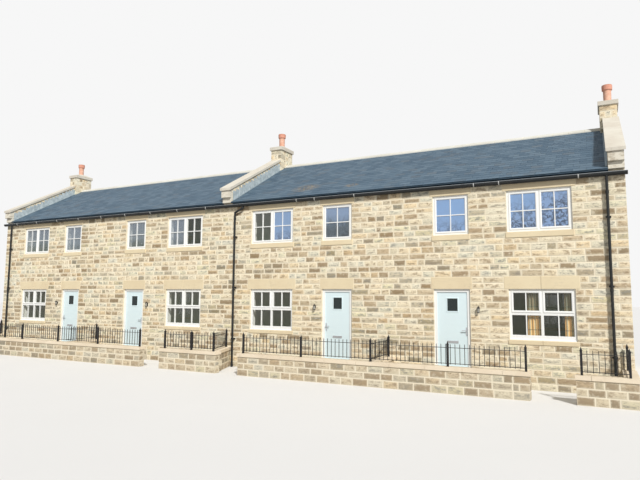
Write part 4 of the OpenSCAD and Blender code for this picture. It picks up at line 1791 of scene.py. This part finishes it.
@dataclass
class DressedStone:
    """Sawn blocks with soft arrises and open joints, cut from the CAD solids.

    Each corner of the garden copings is (x, how far from it the next joint may be). The slope joint
    is a share of the gable's run, and the return joints are distances behind the front edge.
    """

    finishes: Finishes
    arris: float = 0.005
    joint: float = 0.006
    kneeler_top: float = 5.684
    slope_joint: float = 0.52
    return_joints: Pair = (0.306, 0.95)
    coping_length: float = 0.93
    corners: tuple[Pair, ...] = ((-ROW.end + 0.12, 0.22), (-PAIR_LINE, 0.22), (0.47, 0.5),
                                 (5.94, 0.22), (ROW.end - 0.12, 0.22))

    def build(self) -> None:
        """Replaces lintels, sills, copings and caps by copies with cut joints and rounded arrises."""
        f = self.finishes
        for node, name, material, joints in (
                ("lintels", "lintel_blocks", f.dressed, []),
                ("window_sills", "sill_blocks", f.dressed, []),
                ("door_sills", "threshold_blocks", f.dressed, []),
                ("chimney_caps", "chimney_cap_stones", f.raking, []),
                ("gable_copings", "gable_coping_stones", f.raking, self.gable_joints()),
                ("garden_copings", "garden_coping_stones", f.coping, self.garden_joints())):
            work = merged_copy(node)
            for axis, at in joints:
                open_joint(work, axis, at, self.joint)
            piece = new_piece(name, to_mesh(work, name), material)
            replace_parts(soften(piece, self.arris), node)

    def gable_joints(self) -> list[tuple[int, float]]:
        """One joint half way up each slope and one over the lower kneeler stone.

        Returns:
            The axis that each joint is square to, and its place.
        """
        half = self.slope_joint * (ROW.ridge_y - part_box("gable_copings")[0].y)
        return [(2, self.kneeler_top), (1, ROW.ridge_y - half), (1, ROW.ridge_y + half)]

    def garden_joints(self) -> list[tuple[int, float]]:
        """Joints about every metre along the front copings and the returns, clear of the corners.

        Returns:
            The axis that each joint is square to, and its place.
        """
        low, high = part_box("garden_copings")
        length = high.x - low.x
        count = round(length / self.coping_length)
        places = [low.x + length * i / count for i in range(1, count)]
        front = [(0, x) for x in places
                 if all(abs(x - corner) > clear for corner, clear in self.corners)]
        return front + [(1, low.y + behind) for behind in self.return_joints]


# Windows and doors

@dataclass
class Casements:
    """White windows: mitred frames and sashes, thin bars, and the glass.

    Profiles are (inset, depth) points. Transom is its two heights over the opening's foot. Looks are
    the numbers of the painted reflections on the upper panes of the front, haze the clearness of each
    house's lower ones, which also sets their pale painted haze.
    """

    finishes: Finishes
    frame_w: float = 0.055
    sash_w: float = 0.050
    bar_w: float = 0.026
    mullion: float = 0.051
    mullion_depth: Pair = (0.041, 0.149 - 0.041)
    transom_depth: Pair = (0.0422, 0.149 - 0.0422)
    transom: Pair = (0.646, 0.708)
    foot: float = 0.062
    outer: tuple[Pair, ...] = (
        (0, 0.110), (0, 0.044), (0.004, 0.040), (0.049, 0.040), (0.055, 0.046), (0.055, 0.110))
    sash: tuple[Pair, ...] = (
        (0, 0.096), (0, 0.033), (0.005, 0.028), (0.034, 0.028), (0.042, 0.035), (0.046, 0.036),
        (0.050, 0.042), (0.050, 0.096))
    bead: tuple[Pair, ...] = (
        (-0.001, 0.0498), (-0.001, 0.0412), (0.008, 0.0435), (0.011, 0.0498))
    looks: tuple[tuple[float, ...], ...] = (
        (0.46, 0.35, 0, 0.64), (0.50, 0.45, 0, 0.60), (0.62, 0.20, 0, 0.66), (0.58, 0.33, 0, 0.68),
        (0.74, 0.22, 0, 0.72), (0.14, 0.25, 0, 0.90), (0.17, 0.10, 0, 0.87), (0.85, 0, 0.1, 0.12),
        (0.80, 0.60, 0.1, 0.34), (0.93, 0, 0.05, 0.05), (0.93, 0, 0.36, 0.05), (0.93, 0, 0.60, 0.05))
    haze: tuple[float, ...] = (0.895, 0.885, 0.90, 0.915)

    def window(self, batch: Batch, low: Vector, high: Vector) -> None:
        """Builds one window in its opening, with two lights if it is wide.

        Args:
            batch: The mesh to add to.
            low, high: The opening's corners.
        """
        ground = low.z < 2.0
        foot = low.z + self.foot if ground else low.z
        batch.ring((low.x, high.x, foot, high.z), self.outer)
        w = self.frame_w
        x0, x1, z0, z1 = low.x + w, high.x - w, foot + w, high.z - w
        columns = [(x0, x1)]
        if high.x - low.x > 1.3:
            mid = (low.x + high.x) / 2
            left, right = mid - self.mullion / 2, mid + self.mullion / 2
            columns = [(x0, left), (right, x1)]
            batch.slab((left - 0.002, right + 0.002, z0 - 0.01, z1 + 0.01), *self.mullion_depth)
        if not ground:
            for a, b in columns:
                self.opening_light(batch, (a, b, z0, z1), True)
            return
        below, above = (low.z + t for t in self.transom)
        batch.slab((x0 - 0.012, x1 + 0.012, below, above), *self.transom_depth)
        batch.slab((low.x, high.x, low.z, foot + 0.001), 0.040, 0.110)
        batch.slab((low.x, high.x, low.z, low.z + 0.022), 0.015, 0.041)
        for a, b in columns:
            self.opening_light(batch, (a, b, above, z1), False)
            batch.ring((a, b, z0, below), self.bead)
            self.bars(batch, (a, b, z0, below), False)

    def opening_light(self, batch: Batch, rect: Rect, cross: bool) -> None:
        """Adds a sash with its bars.

        Args:
            batch: The mesh to add to.
            rect: The sash's outer rectangle.
            cross: Whether it has a level bar too.
        """
        batch.ring(rect, self.sash)
        (x0, x1, z0, z1), w = rect, self.sash_w
        self.bars(batch, (x0 + w, x1 - w, z0 + w, z1 - w), cross)

    def bars(self, batch: Batch, rect: Rect, cross: bool) -> None:
        """Adds the thin bars of one light, outside and inside the glass.

        Args:
            batch: The mesh to add to.
            rect: The glass's rectangle.
            cross: Whether there is a level bar too.
        """
        x0, x1, z0, z1 = rect
        mid, level, half, into = (x0 + x1) / 2, (z0 + z1) / 2, self.bar_w / 2, 0.006
        for near, far in ((0.036, 0.0505), (0.0735, 0.088)):
            batch.slab((mid - half, mid + half, z0 - into, z1 + into), near, far)
            if cross:
                batch.slab((x0 - into, x1 + into, level - half, level + half), near + 0.0006,
                           far - 0.0001)

    def panes(self) -> None:
        """Copies the panes and gives each its own numbers for the glass's painted reflections and
        clearness, and its heights.
        """
        batch = Batch()
        numbers: dict[str, list[float]] = {name: [] for name in (*PANE_NUMBERS, "up")}
        rng = np.random.default_rng(31)
        shown = 0
        for low, high in solid_boxes("window_glass"):
            # back panes: a random painted sky reflection, hedge band and bough lines, on dull glass with
            # painted room shade
            look = (rng.uniform(0.6, 0.9), rng.uniform(0, 0.4), 0.2, 0.15)
            if outside(low) == FRONT and low.z > 3.0:
                look = self.looks[shown]
                shown += 1
            elif outside(low) == FRONT:
                look = (0.0, 0, 0, self.haze[sum(low.x > x for x in (-PAIR_LINE, 0.0, PAIR_LINE))])
            batch.box(low, high)
            for name, value in zip(PANE_NUMBERS, look):
                numbers[name] += [value] * 8
        piece = batch.piece("window_panes", self.finishes.glass, "window_pane")
        spans = [(low.z, high.z) for low, high in solid_boxes("window_glass")]
        for i, vertex in enumerate(piece.data.vertices):
            z0, z1 = spans[i // 8]
            numbers["up"].append((vertex.co.z - z0) / (z1 - z0))
        for name, values in numbers.items():
            piece.data.attributes.new(name, "FLOAT", "POINT").data.foreach_set("value", values)
        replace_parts(piece, "window_glass")

    def build(self) -> None:
        """Builds the windows of both faces."""
        for name, wall in (("front_window_frames", FRONT), ("back_window_frames", BACK)):
            batch = Batch(wall)
            for low, high in solid_boxes("window_frames"):
                if outside(low) == wall:
                    self.window(batch, low, high)
            piece = batch.piece(name, self.finishes.frame, "white_frame")
            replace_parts(soften(piece, 0.0015, 1), "window_frames")
        self.panes()


@dataclass
class FrontDoors:
    """Four slab doors with a small vision panel, lever handles and a low letter plate."""

    finishes: Finishes
    bead: float = 0.026
    bar: Pair = (0.012, 0.042)

    def build(self) -> None:
        """Builds the frames and the four leaves."""
        dress("door_frames", self.finishes.frame)
        for i in range(1, 5):
            self.leaf(i)

    def leaf(self, i: int) -> None:
        """Builds one leaf with the beads of its pane and its weather bar.

        Args:
            i: The door's number.
        """
        body, node, name = f"front_door_{i}", f"door_{i}", f"door_leaf_{i}"
        low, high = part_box(node)
        pane_low, pane_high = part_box(f"door_glass_{i}")
        mesh = to_mesh(merged_copy(node), name)
        piece = new_piece(name, mesh, self.finishes.door, body)
        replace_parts(soften(piece, 0.002), node)
        trim = Batch()
        profile = ((-self.bead, 0.0), (-self.bead + 0.004, 0.008), (-0.008, 0.011), (0.002, 0.004),
                   (0.006, -0.008), (-self.bead, -0.002))
        for face in (Plane(low.y, -1.0), Plane(high.y, 1.0)):
            trim.wall = face
            trim.ring((pane_low.x, pane_high.x, pane_low.z, pane_high.z), profile)
        trim.box((low.x + 0.02, low.y - 0.016, low.z + self.bar[0]),
                 (high.x - 0.02, low.y + 0.001, low.z + self.bar[1]))
        soften(trim.piece(f"door_trim_{i}", self.finishes.door, "door_paint", body), 0.0016)
        dress(f"door_glass_{i}", self.finishes.panel)
        dress(f"door_handle_{i}", self.finishes.metal)


@dataclass
class Curtains:
    """Gathered checked curtains that hang behind the right-hand ground floor window."""

    finishes: Finishes
    pleat: float = 0.075
    swing: float = 0.018
    thick: float = 0.0015
    columns: int = 73
    rows: int = 13

    def build(self) -> None:
        """Builds both curtains."""
        for i, (low, high) in enumerate(solid_boxes("curtains"), 1):
            self.curtain(i, low, high)

    def fold(self, low: Vector, high: Vector, s: float, t: float) -> Triple:
        """A place on a curtain's folds, which are a little wider and flatter at the foot.

        Args:
            low, high: The CAD solid's corners.
            s, t: The place across and down, from 0 to 1.

        Returns:
            The point.
        """
        wide = high.x - low.x
        x = (low.x + high.x) / 2 + (s - 0.5) * wide * (0.94 + 0.06 * t)
        phase = 2 * math.pi * (s * wide / self.pleat + 0.13 * math.sin(5 * s + 2 * t))
        y = (low.y + high.y) / 2 + math.sin(phase) * self.swing * (1.0 - 0.25 * t)
        return x, y, high.z - t * (high.z - low.z)

    def curtain(self, i: int, low: Vector, high: Vector) -> None:
        """Builds one pleated sheet and stores on its points how far across its flat width they lie.

        Args:
            i: The curtain's number.
            low, high: The CAD solid's corners.
        """
        work = bmesh.new()
        across = [c / (self.columns - 1) for c in range(self.columns)]
        grid = [[work.verts.new(self.fold(low, high, s, r / (self.rows - 1))) for s in across]
                for r in range(self.rows)]
        for a, b in zip(grid, grid[1:]):
            for c in range(self.columns - 1):
                work.faces.new((a[c], b[c], b[c + 1], a[c + 1]))
        width = sum((b.co - a.co).length for a, b in zip(grid[0], grid[0][1:]))
        name = f"curtain_{i}"
        mesh = bpy.data.meshes.new(name)
        work.verts.index_update()
        work.to_mesh(mesh)
        work.free()
        band = mesh.attributes.new("across", "FLOAT", "POINT")
        band.data.foreach_set("value", [s * width for s in across] * self.rows)
        piece = new_piece(name, mesh, self.finishes.cloth)
        cloth = piece.modifiers.new("cloth", "SOLIDIFY")
        cloth.thickness = self.thick
        cloth.offset = 0.0
        mesh.shade_smooth()
        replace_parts(piece, "curtains")


# Rainwater goods, railings and lanterns

@dataclass
class Rainwater:
    """Gutters, pipes and their fixings.

    Shown are the places of the front's brackets that the photo shows over the right-hand pair. A
    union's radii are its outer and inner one, and the socket is an outline of (radius, height).
    """

    finishes: Finishes
    stand_off: float = 0.092
    side: float = 0.030
    lip: float = 0.0055
    lip_out: float = 0.061
    unions: tuple[float, ...] = (-8.1, -4.0, 0.02, 4.05, 8.1)
    union_radii: Pair = (0.0665, 0.0622)
    union_length: float = 0.09
    strap_radius: float = 0.0645
    strap_w: float = 0.022
    strap_thick: float = 0.0036
    sockets: Triple = (0.02, 2.48, 4.9)
    socket: tuple[Pair, ...] = ((0.0342, 0), (0.042, 0.002), (0.042, 0.075), (0.0342, 0.08))
    pipe_axis: float = 0.062
    shown: tuple[float, ...] = (2.86, 3.51, 4.87, 8.43, 9.09, 11.02)

    def build(self) -> None:
        """Dresses the CAD nodes and adds pale grey lips painted as a highlight along the gutters' rims,
        unions, sockets and pale bracket straps.
        """
        dress("gutters", self.finishes.rain)
        dress("downpipes", self.finishes.rain)
        straps, joints, lips = Batch(), Batch(), Batch()
        turns = [2 * math.pi * k / 8 for k in range(8)]
        for low, high in solid_boxes("gutters"):
            wall = outside(low)
            centre = wall.at(-self.stand_off)
            rim = centre - wall.side * self.lip_out
            # a thin round lip along the gutter's rim, in a pale grey that is a painted highlight
            lips.run(low.x, [(rim + self.lip * math.cos(a), high.z + self.lip * math.sin(a))
                             for a in turns], high.x - low.x)
            for x in self.places(wall):
                self.strap(straps, x, wall)
            outer, inner = (self.trough(centre, -radius, 12) for radius in self.union_radii)
            for x in self.unions:
                joints.run(x, outer + inner[::-1], self.union_length)
        for low, high in solid_boxes("downpipes"):
            for z in self.sockets:
                axis = Vector((low.x + self.pipe_axis, outside(low).at(-self.stand_off), z))
                joints.lathe(axis, self.socket)
        lips.piece("gutter_lips", self.finishes.lip, "black_rainwater")
        straps.piece("gutter_straps", self.finishes.zinc, "lead_flashing")
        soften(joints.piece("rainwater_unions", self.finishes.rain, "black_rainwater"), 0.001, 1)

    def places(self, wall: Plane) -> list[float]:
        """Where the brackets stand."""
        even = [-11.2 + 1.3 * k for k in range(9)]
        return even + (list(self.shown) if wall == FRONT else [-x for x in even])

    def strap(self, batch: Batch, x: float, wall: Plane) -> None:
        """Adds one strap: over the gutter's lip, round its front and back to the wall.

        Args:
            batch: The mesh to add to.
            x: Its place.
            wall: The wall face.
        """
        points = self.trough(wall.at(-self.stand_off), -wall.side * self.strap_radius, 10)
        for near, far in zip(points, points[1:]):
            self.bar(batch, x, near, far)
        top = points[0][1]
        self.bar(batch, x, (wall.at(-0.004), top - 0.10), (wall.at(-0.004), top + 0.02))

    def bar(self, batch: Batch, x: float, near: Pair, far: Pair) -> None:
        """Adds a short flat bar between two (y, z) points square to the wall.

        Args:
            batch: The mesh to add to.
            x: Its middle.
            near, far: The points.
        """
        run = Vector((0, far[0] - near[0], far[1] - near[1]))
        across = Vector((0, -run.z, run.y)).normalized() * (self.strap_thick / 2)
        a = Vector((x - self.strap_w / 2, *near))
        outline = [a - across, a + across, a + across + run, a - across + run]
        batch.prism(outline, Vector((self.strap_w, 0, 0)))

    def trough(self, centre: float, radius: float, steps: int) -> list[Pair]:
        """Outline of a trough with straight sides over a round bottom, from one lip to the other.

        Args:
            centre: The trough's middle.
            radius: Half its width; the outline starts at centre + radius.
            steps: Number of stretches of the round bottom.

        Returns:
            The points as (y, z).
        """
        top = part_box("gutters")[1].z
        turns = [math.pi * k / steps for k in range(steps + 1)]
        around = [(centre + radius * math.cos(a), top - self.side - abs(radius) * math.sin(a))
                  for a in turns]
        return [(centre + radius, top), *around, (centre - radius, top)]


@dataclass
class Railings:
    """Black railings; the bars end in small points, and their tops are below those of the posts."""

    finishes: Finishes
    below_posts: float = 0.085
    bar_w: float = 0.03

    def build(self) -> None:
        """Dresses the CAD bars and posts and stands a point on every bar."""
        tips = []
        for node in ("railings_left", "railings_middle", "railings_right"):
            dress(node, self.finishes.black)
            tips += self.bar_tops(node)
        carrier = carrier_mesh("bar_tops", np.array(tips), {})
        mesh = spear_recipe().run(carrier, self.finishes.black, "railing_points")
        new_piece("railing_points", mesh, self.finishes.black)

    def bar_tops(self, node: str) -> list[Triple]:
        """Centres of the flat tops of a railing's bars.

        Args:
            node: The CAD node.

        Returns:
            The centres.
        """
        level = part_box("railings_middle")[1].z - self.below_posts
        groups: list[list[Vector]] = []
        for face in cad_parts[node].data.polygons:
            if abs(face.center.z - level) > 0.002 or face.normal.z < 0.9:
                continue
            centre = face.center.copy()
            group = next((g for g in groups if (g[0] - centre).length < self.bar_w), None)
            if group:
                group.append(centre)
            else:
                groups.append([centre])
        return [tuple(sum(g, Vector()) / len(g)) for g in groups]


@dataclass
class Lanterns:
    """A small carriage lantern beside each door; outlines are (radius, height)."""

    finishes: Finishes
    reach: float = 0.075
    sides: int = 6
    tray: tuple[Pair, ...] = ((0, 0), (0.030, 0), (0.031, 0.018), (0, 0.020))
    roof: tuple[Pair, ...] = (
        (0, 0.122), (0.043, 0.122), (0.048, 0.128), (0.030, 0.148), (0.012, 0.168), (0.010, 0.176),
        (0.007, 0.190), (0, 0.190))
    body: tuple[Pair, ...] = ((0, 0.019), (0.025, 0.019), (0.037, 0.123), (0, 0.123))

    def build(self) -> None:
        """Builds the cages and the panes."""
        cage, panes = Batch(), Batch()
        a, b = Vector((0.003, 0, 0)), Vector((0, 0.003, 0))
        for low, high in solid_boxes("wall_lanterns"):
            x, wall, z = (low.x + high.x) / 2, ROW.front, low.z
            axis = Vector((x, wall - self.reach, z))
            cage.box((x - 0.022, wall - 0.012, z + 0.015), (x + 0.022, wall + 0.002, z + 0.135))
            cage.box((x - 0.006, wall - self.reach, z + 0.150), (x + 0.006, wall - 0.004, z + 0.162))
            cage.lathe(axis, self.tray, self.sides)
            cage.lathe(axis, self.roof, self.sides)
            panes.lathe(axis, self.body, self.sides)
            for k in range(self.sides):
                turn = 2 * math.pi * k / self.sides
                around = Vector((math.cos(turn), math.sin(turn), 0))
                foot = axis + around * 0.027 + Vector((0, 0, 0.016))
                head = axis + around * 0.040 + Vector((0, 0, 0.124))
                cage.prism([foot - a - b, foot + a - b, foot + a + b, foot - a + b], head - foot)
        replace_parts(cage.piece("lantern_cages", self.finishes.black, "lantern_black"), "wall_lanterns")
        panes.piece("lantern_panes", self.finishes.pane, "window_pane")


# Stage

@dataclass
class Studio:
    """Pale floor and background, soft light, and the camera at the photo's place."""

    lens: float = 30.664
    place: Triple = (11.448, -15.078, 2.352)
    yaw: float = -27.349
    pitch: float = 5.849
    roll: float = 0.334
    sun: float = 3.6
    toward_sun: Triple = (0.518, -0.576, 0.633)
    around: float = 0.37
    background: float = 0.93
    bounce: float = 0.42
    floor_reach: float = 140.0

    def build(self) -> None:
        """Makes the stage, the lights and the camera."""
        self.floor()
        self.world()
        self.lamp()
        self.camera()
        bpy.context.scene.view_settings.view_transform = "Standard"

    def floor(self) -> None:
        """A wide pale floor at the lowest ground; it throws back less light than it shows."""
        work = bmesh.new()
        bmesh.ops.create_grid(work, x_segments=1, y_segments=1, size=self.floor_reach)
        mesh = bpy.data.meshes.new("floor")
        work.to_mesh(mesh)
        work.free()
        s = Shader("pale_floor")
        pale = s.mix(s.noise(0.3, 3.0), (0.76, 0.76, 0.76), (0.79, 0.79, 0.79))
        mesh.materials.append(s.finish(s.mix(self.seen(s), (self.bounce,) * 3, pale), 0.9))
        floor = bpy.data.objects.new("floor", mesh)
        link(floor)

    def world(self) -> None:
        """Soft light from all sides; the camera, gloss and glass see a pale background."""
        world = bpy.data.worlds.new("studio")
        bpy.context.scene.world = world
        world.use_nodes = True
        g = Graph(world.node_tree)
        world.node_tree.nodes.clear()
        strength = self.seen(g) * (self.background - self.around) + self.around
        white = (1.0, 1.0, 1.0, 1.0)
        light = g.wire("ShaderNodeBackground", None, {"Color": white, "Strength": strength})
        g.add("ShaderNodeOutputWorld", None, {"Surface": light})

    def seen(self, g: Graph) -> Wire:
        """1 for what the camera, gloss and glass see, and 0 for light on the surfaces.

        Args:
            g: The node tree.

        Returns:
            The wire of the number.
        """
        path = g.add("ShaderNodeLightPath")
        shown, gloss, through = (Wire(g, path.outputs[f"Is {kind} Ray"])
                                 for kind in ("Camera", "Glossy", "Transmission"))
        return shown.maths("MAXIMUM", gloss).maths("MAXIMUM", through)

    def lamp(self) -> None:
        """One wide soft sun from the front right."""
        data = bpy.data.lights.new("key", "SUN")
        data.energy = self.sun
        data.angle = math.radians(4)
        data.color = (1.0, 0.98, 0.94)
        lamp = bpy.data.objects.new("key", data)
        lamp.rotation_euler = Vector(self.toward_sun).to_track_quat("Z", "Y").to_euler()
        link(lamp)

    def camera(self) -> None:
        """The camera where the photo was taken from."""
        data = bpy.data.cameras.new("camera")
        data.sensor_width = 36.0
        data.sensor_fit = "HORIZONTAL"
        data.lens = self.lens
        data.clip_end = 500
        camera = bpy.data.objects.new("camera", data)
        yaw, pitch, roll = (math.radians(a) for a in (self.yaw, self.pitch, self.roll))
        turn = (Matrix.Rotation(-yaw, 4, "Z") @ Matrix.Rotation(math.pi / 2 + pitch, 4, "X")
                @ Matrix.Rotation(roll, 4, "Z"))
        x, y, z = self.place
        camera.matrix_world = Matrix.Translation((x, ROW.front + y, z)) @ turn
        link(camera)
        bpy.context.scene.camera = camera


def main() -> None:
    """Builds everything in order."""
    logging.basicConfig(level=logging.INFO, format="%(name)s: %(message)s")
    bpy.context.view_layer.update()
    finishes = Finishes()
    Studio().build()
    for part in (Masonry, SlateRoof, DressedStone, Casements, FrontDoors, Curtains, Rainwater,
                 Railings, Lanterns):
        part(finishes).build()
    for node, material in (("chimney_pots", finishes.clay), ("ground_floor", finishes.screed),
                           ("first_floor", finishes.boards)):
        dress(node, material)


if __name__ == "__main__":
    main()
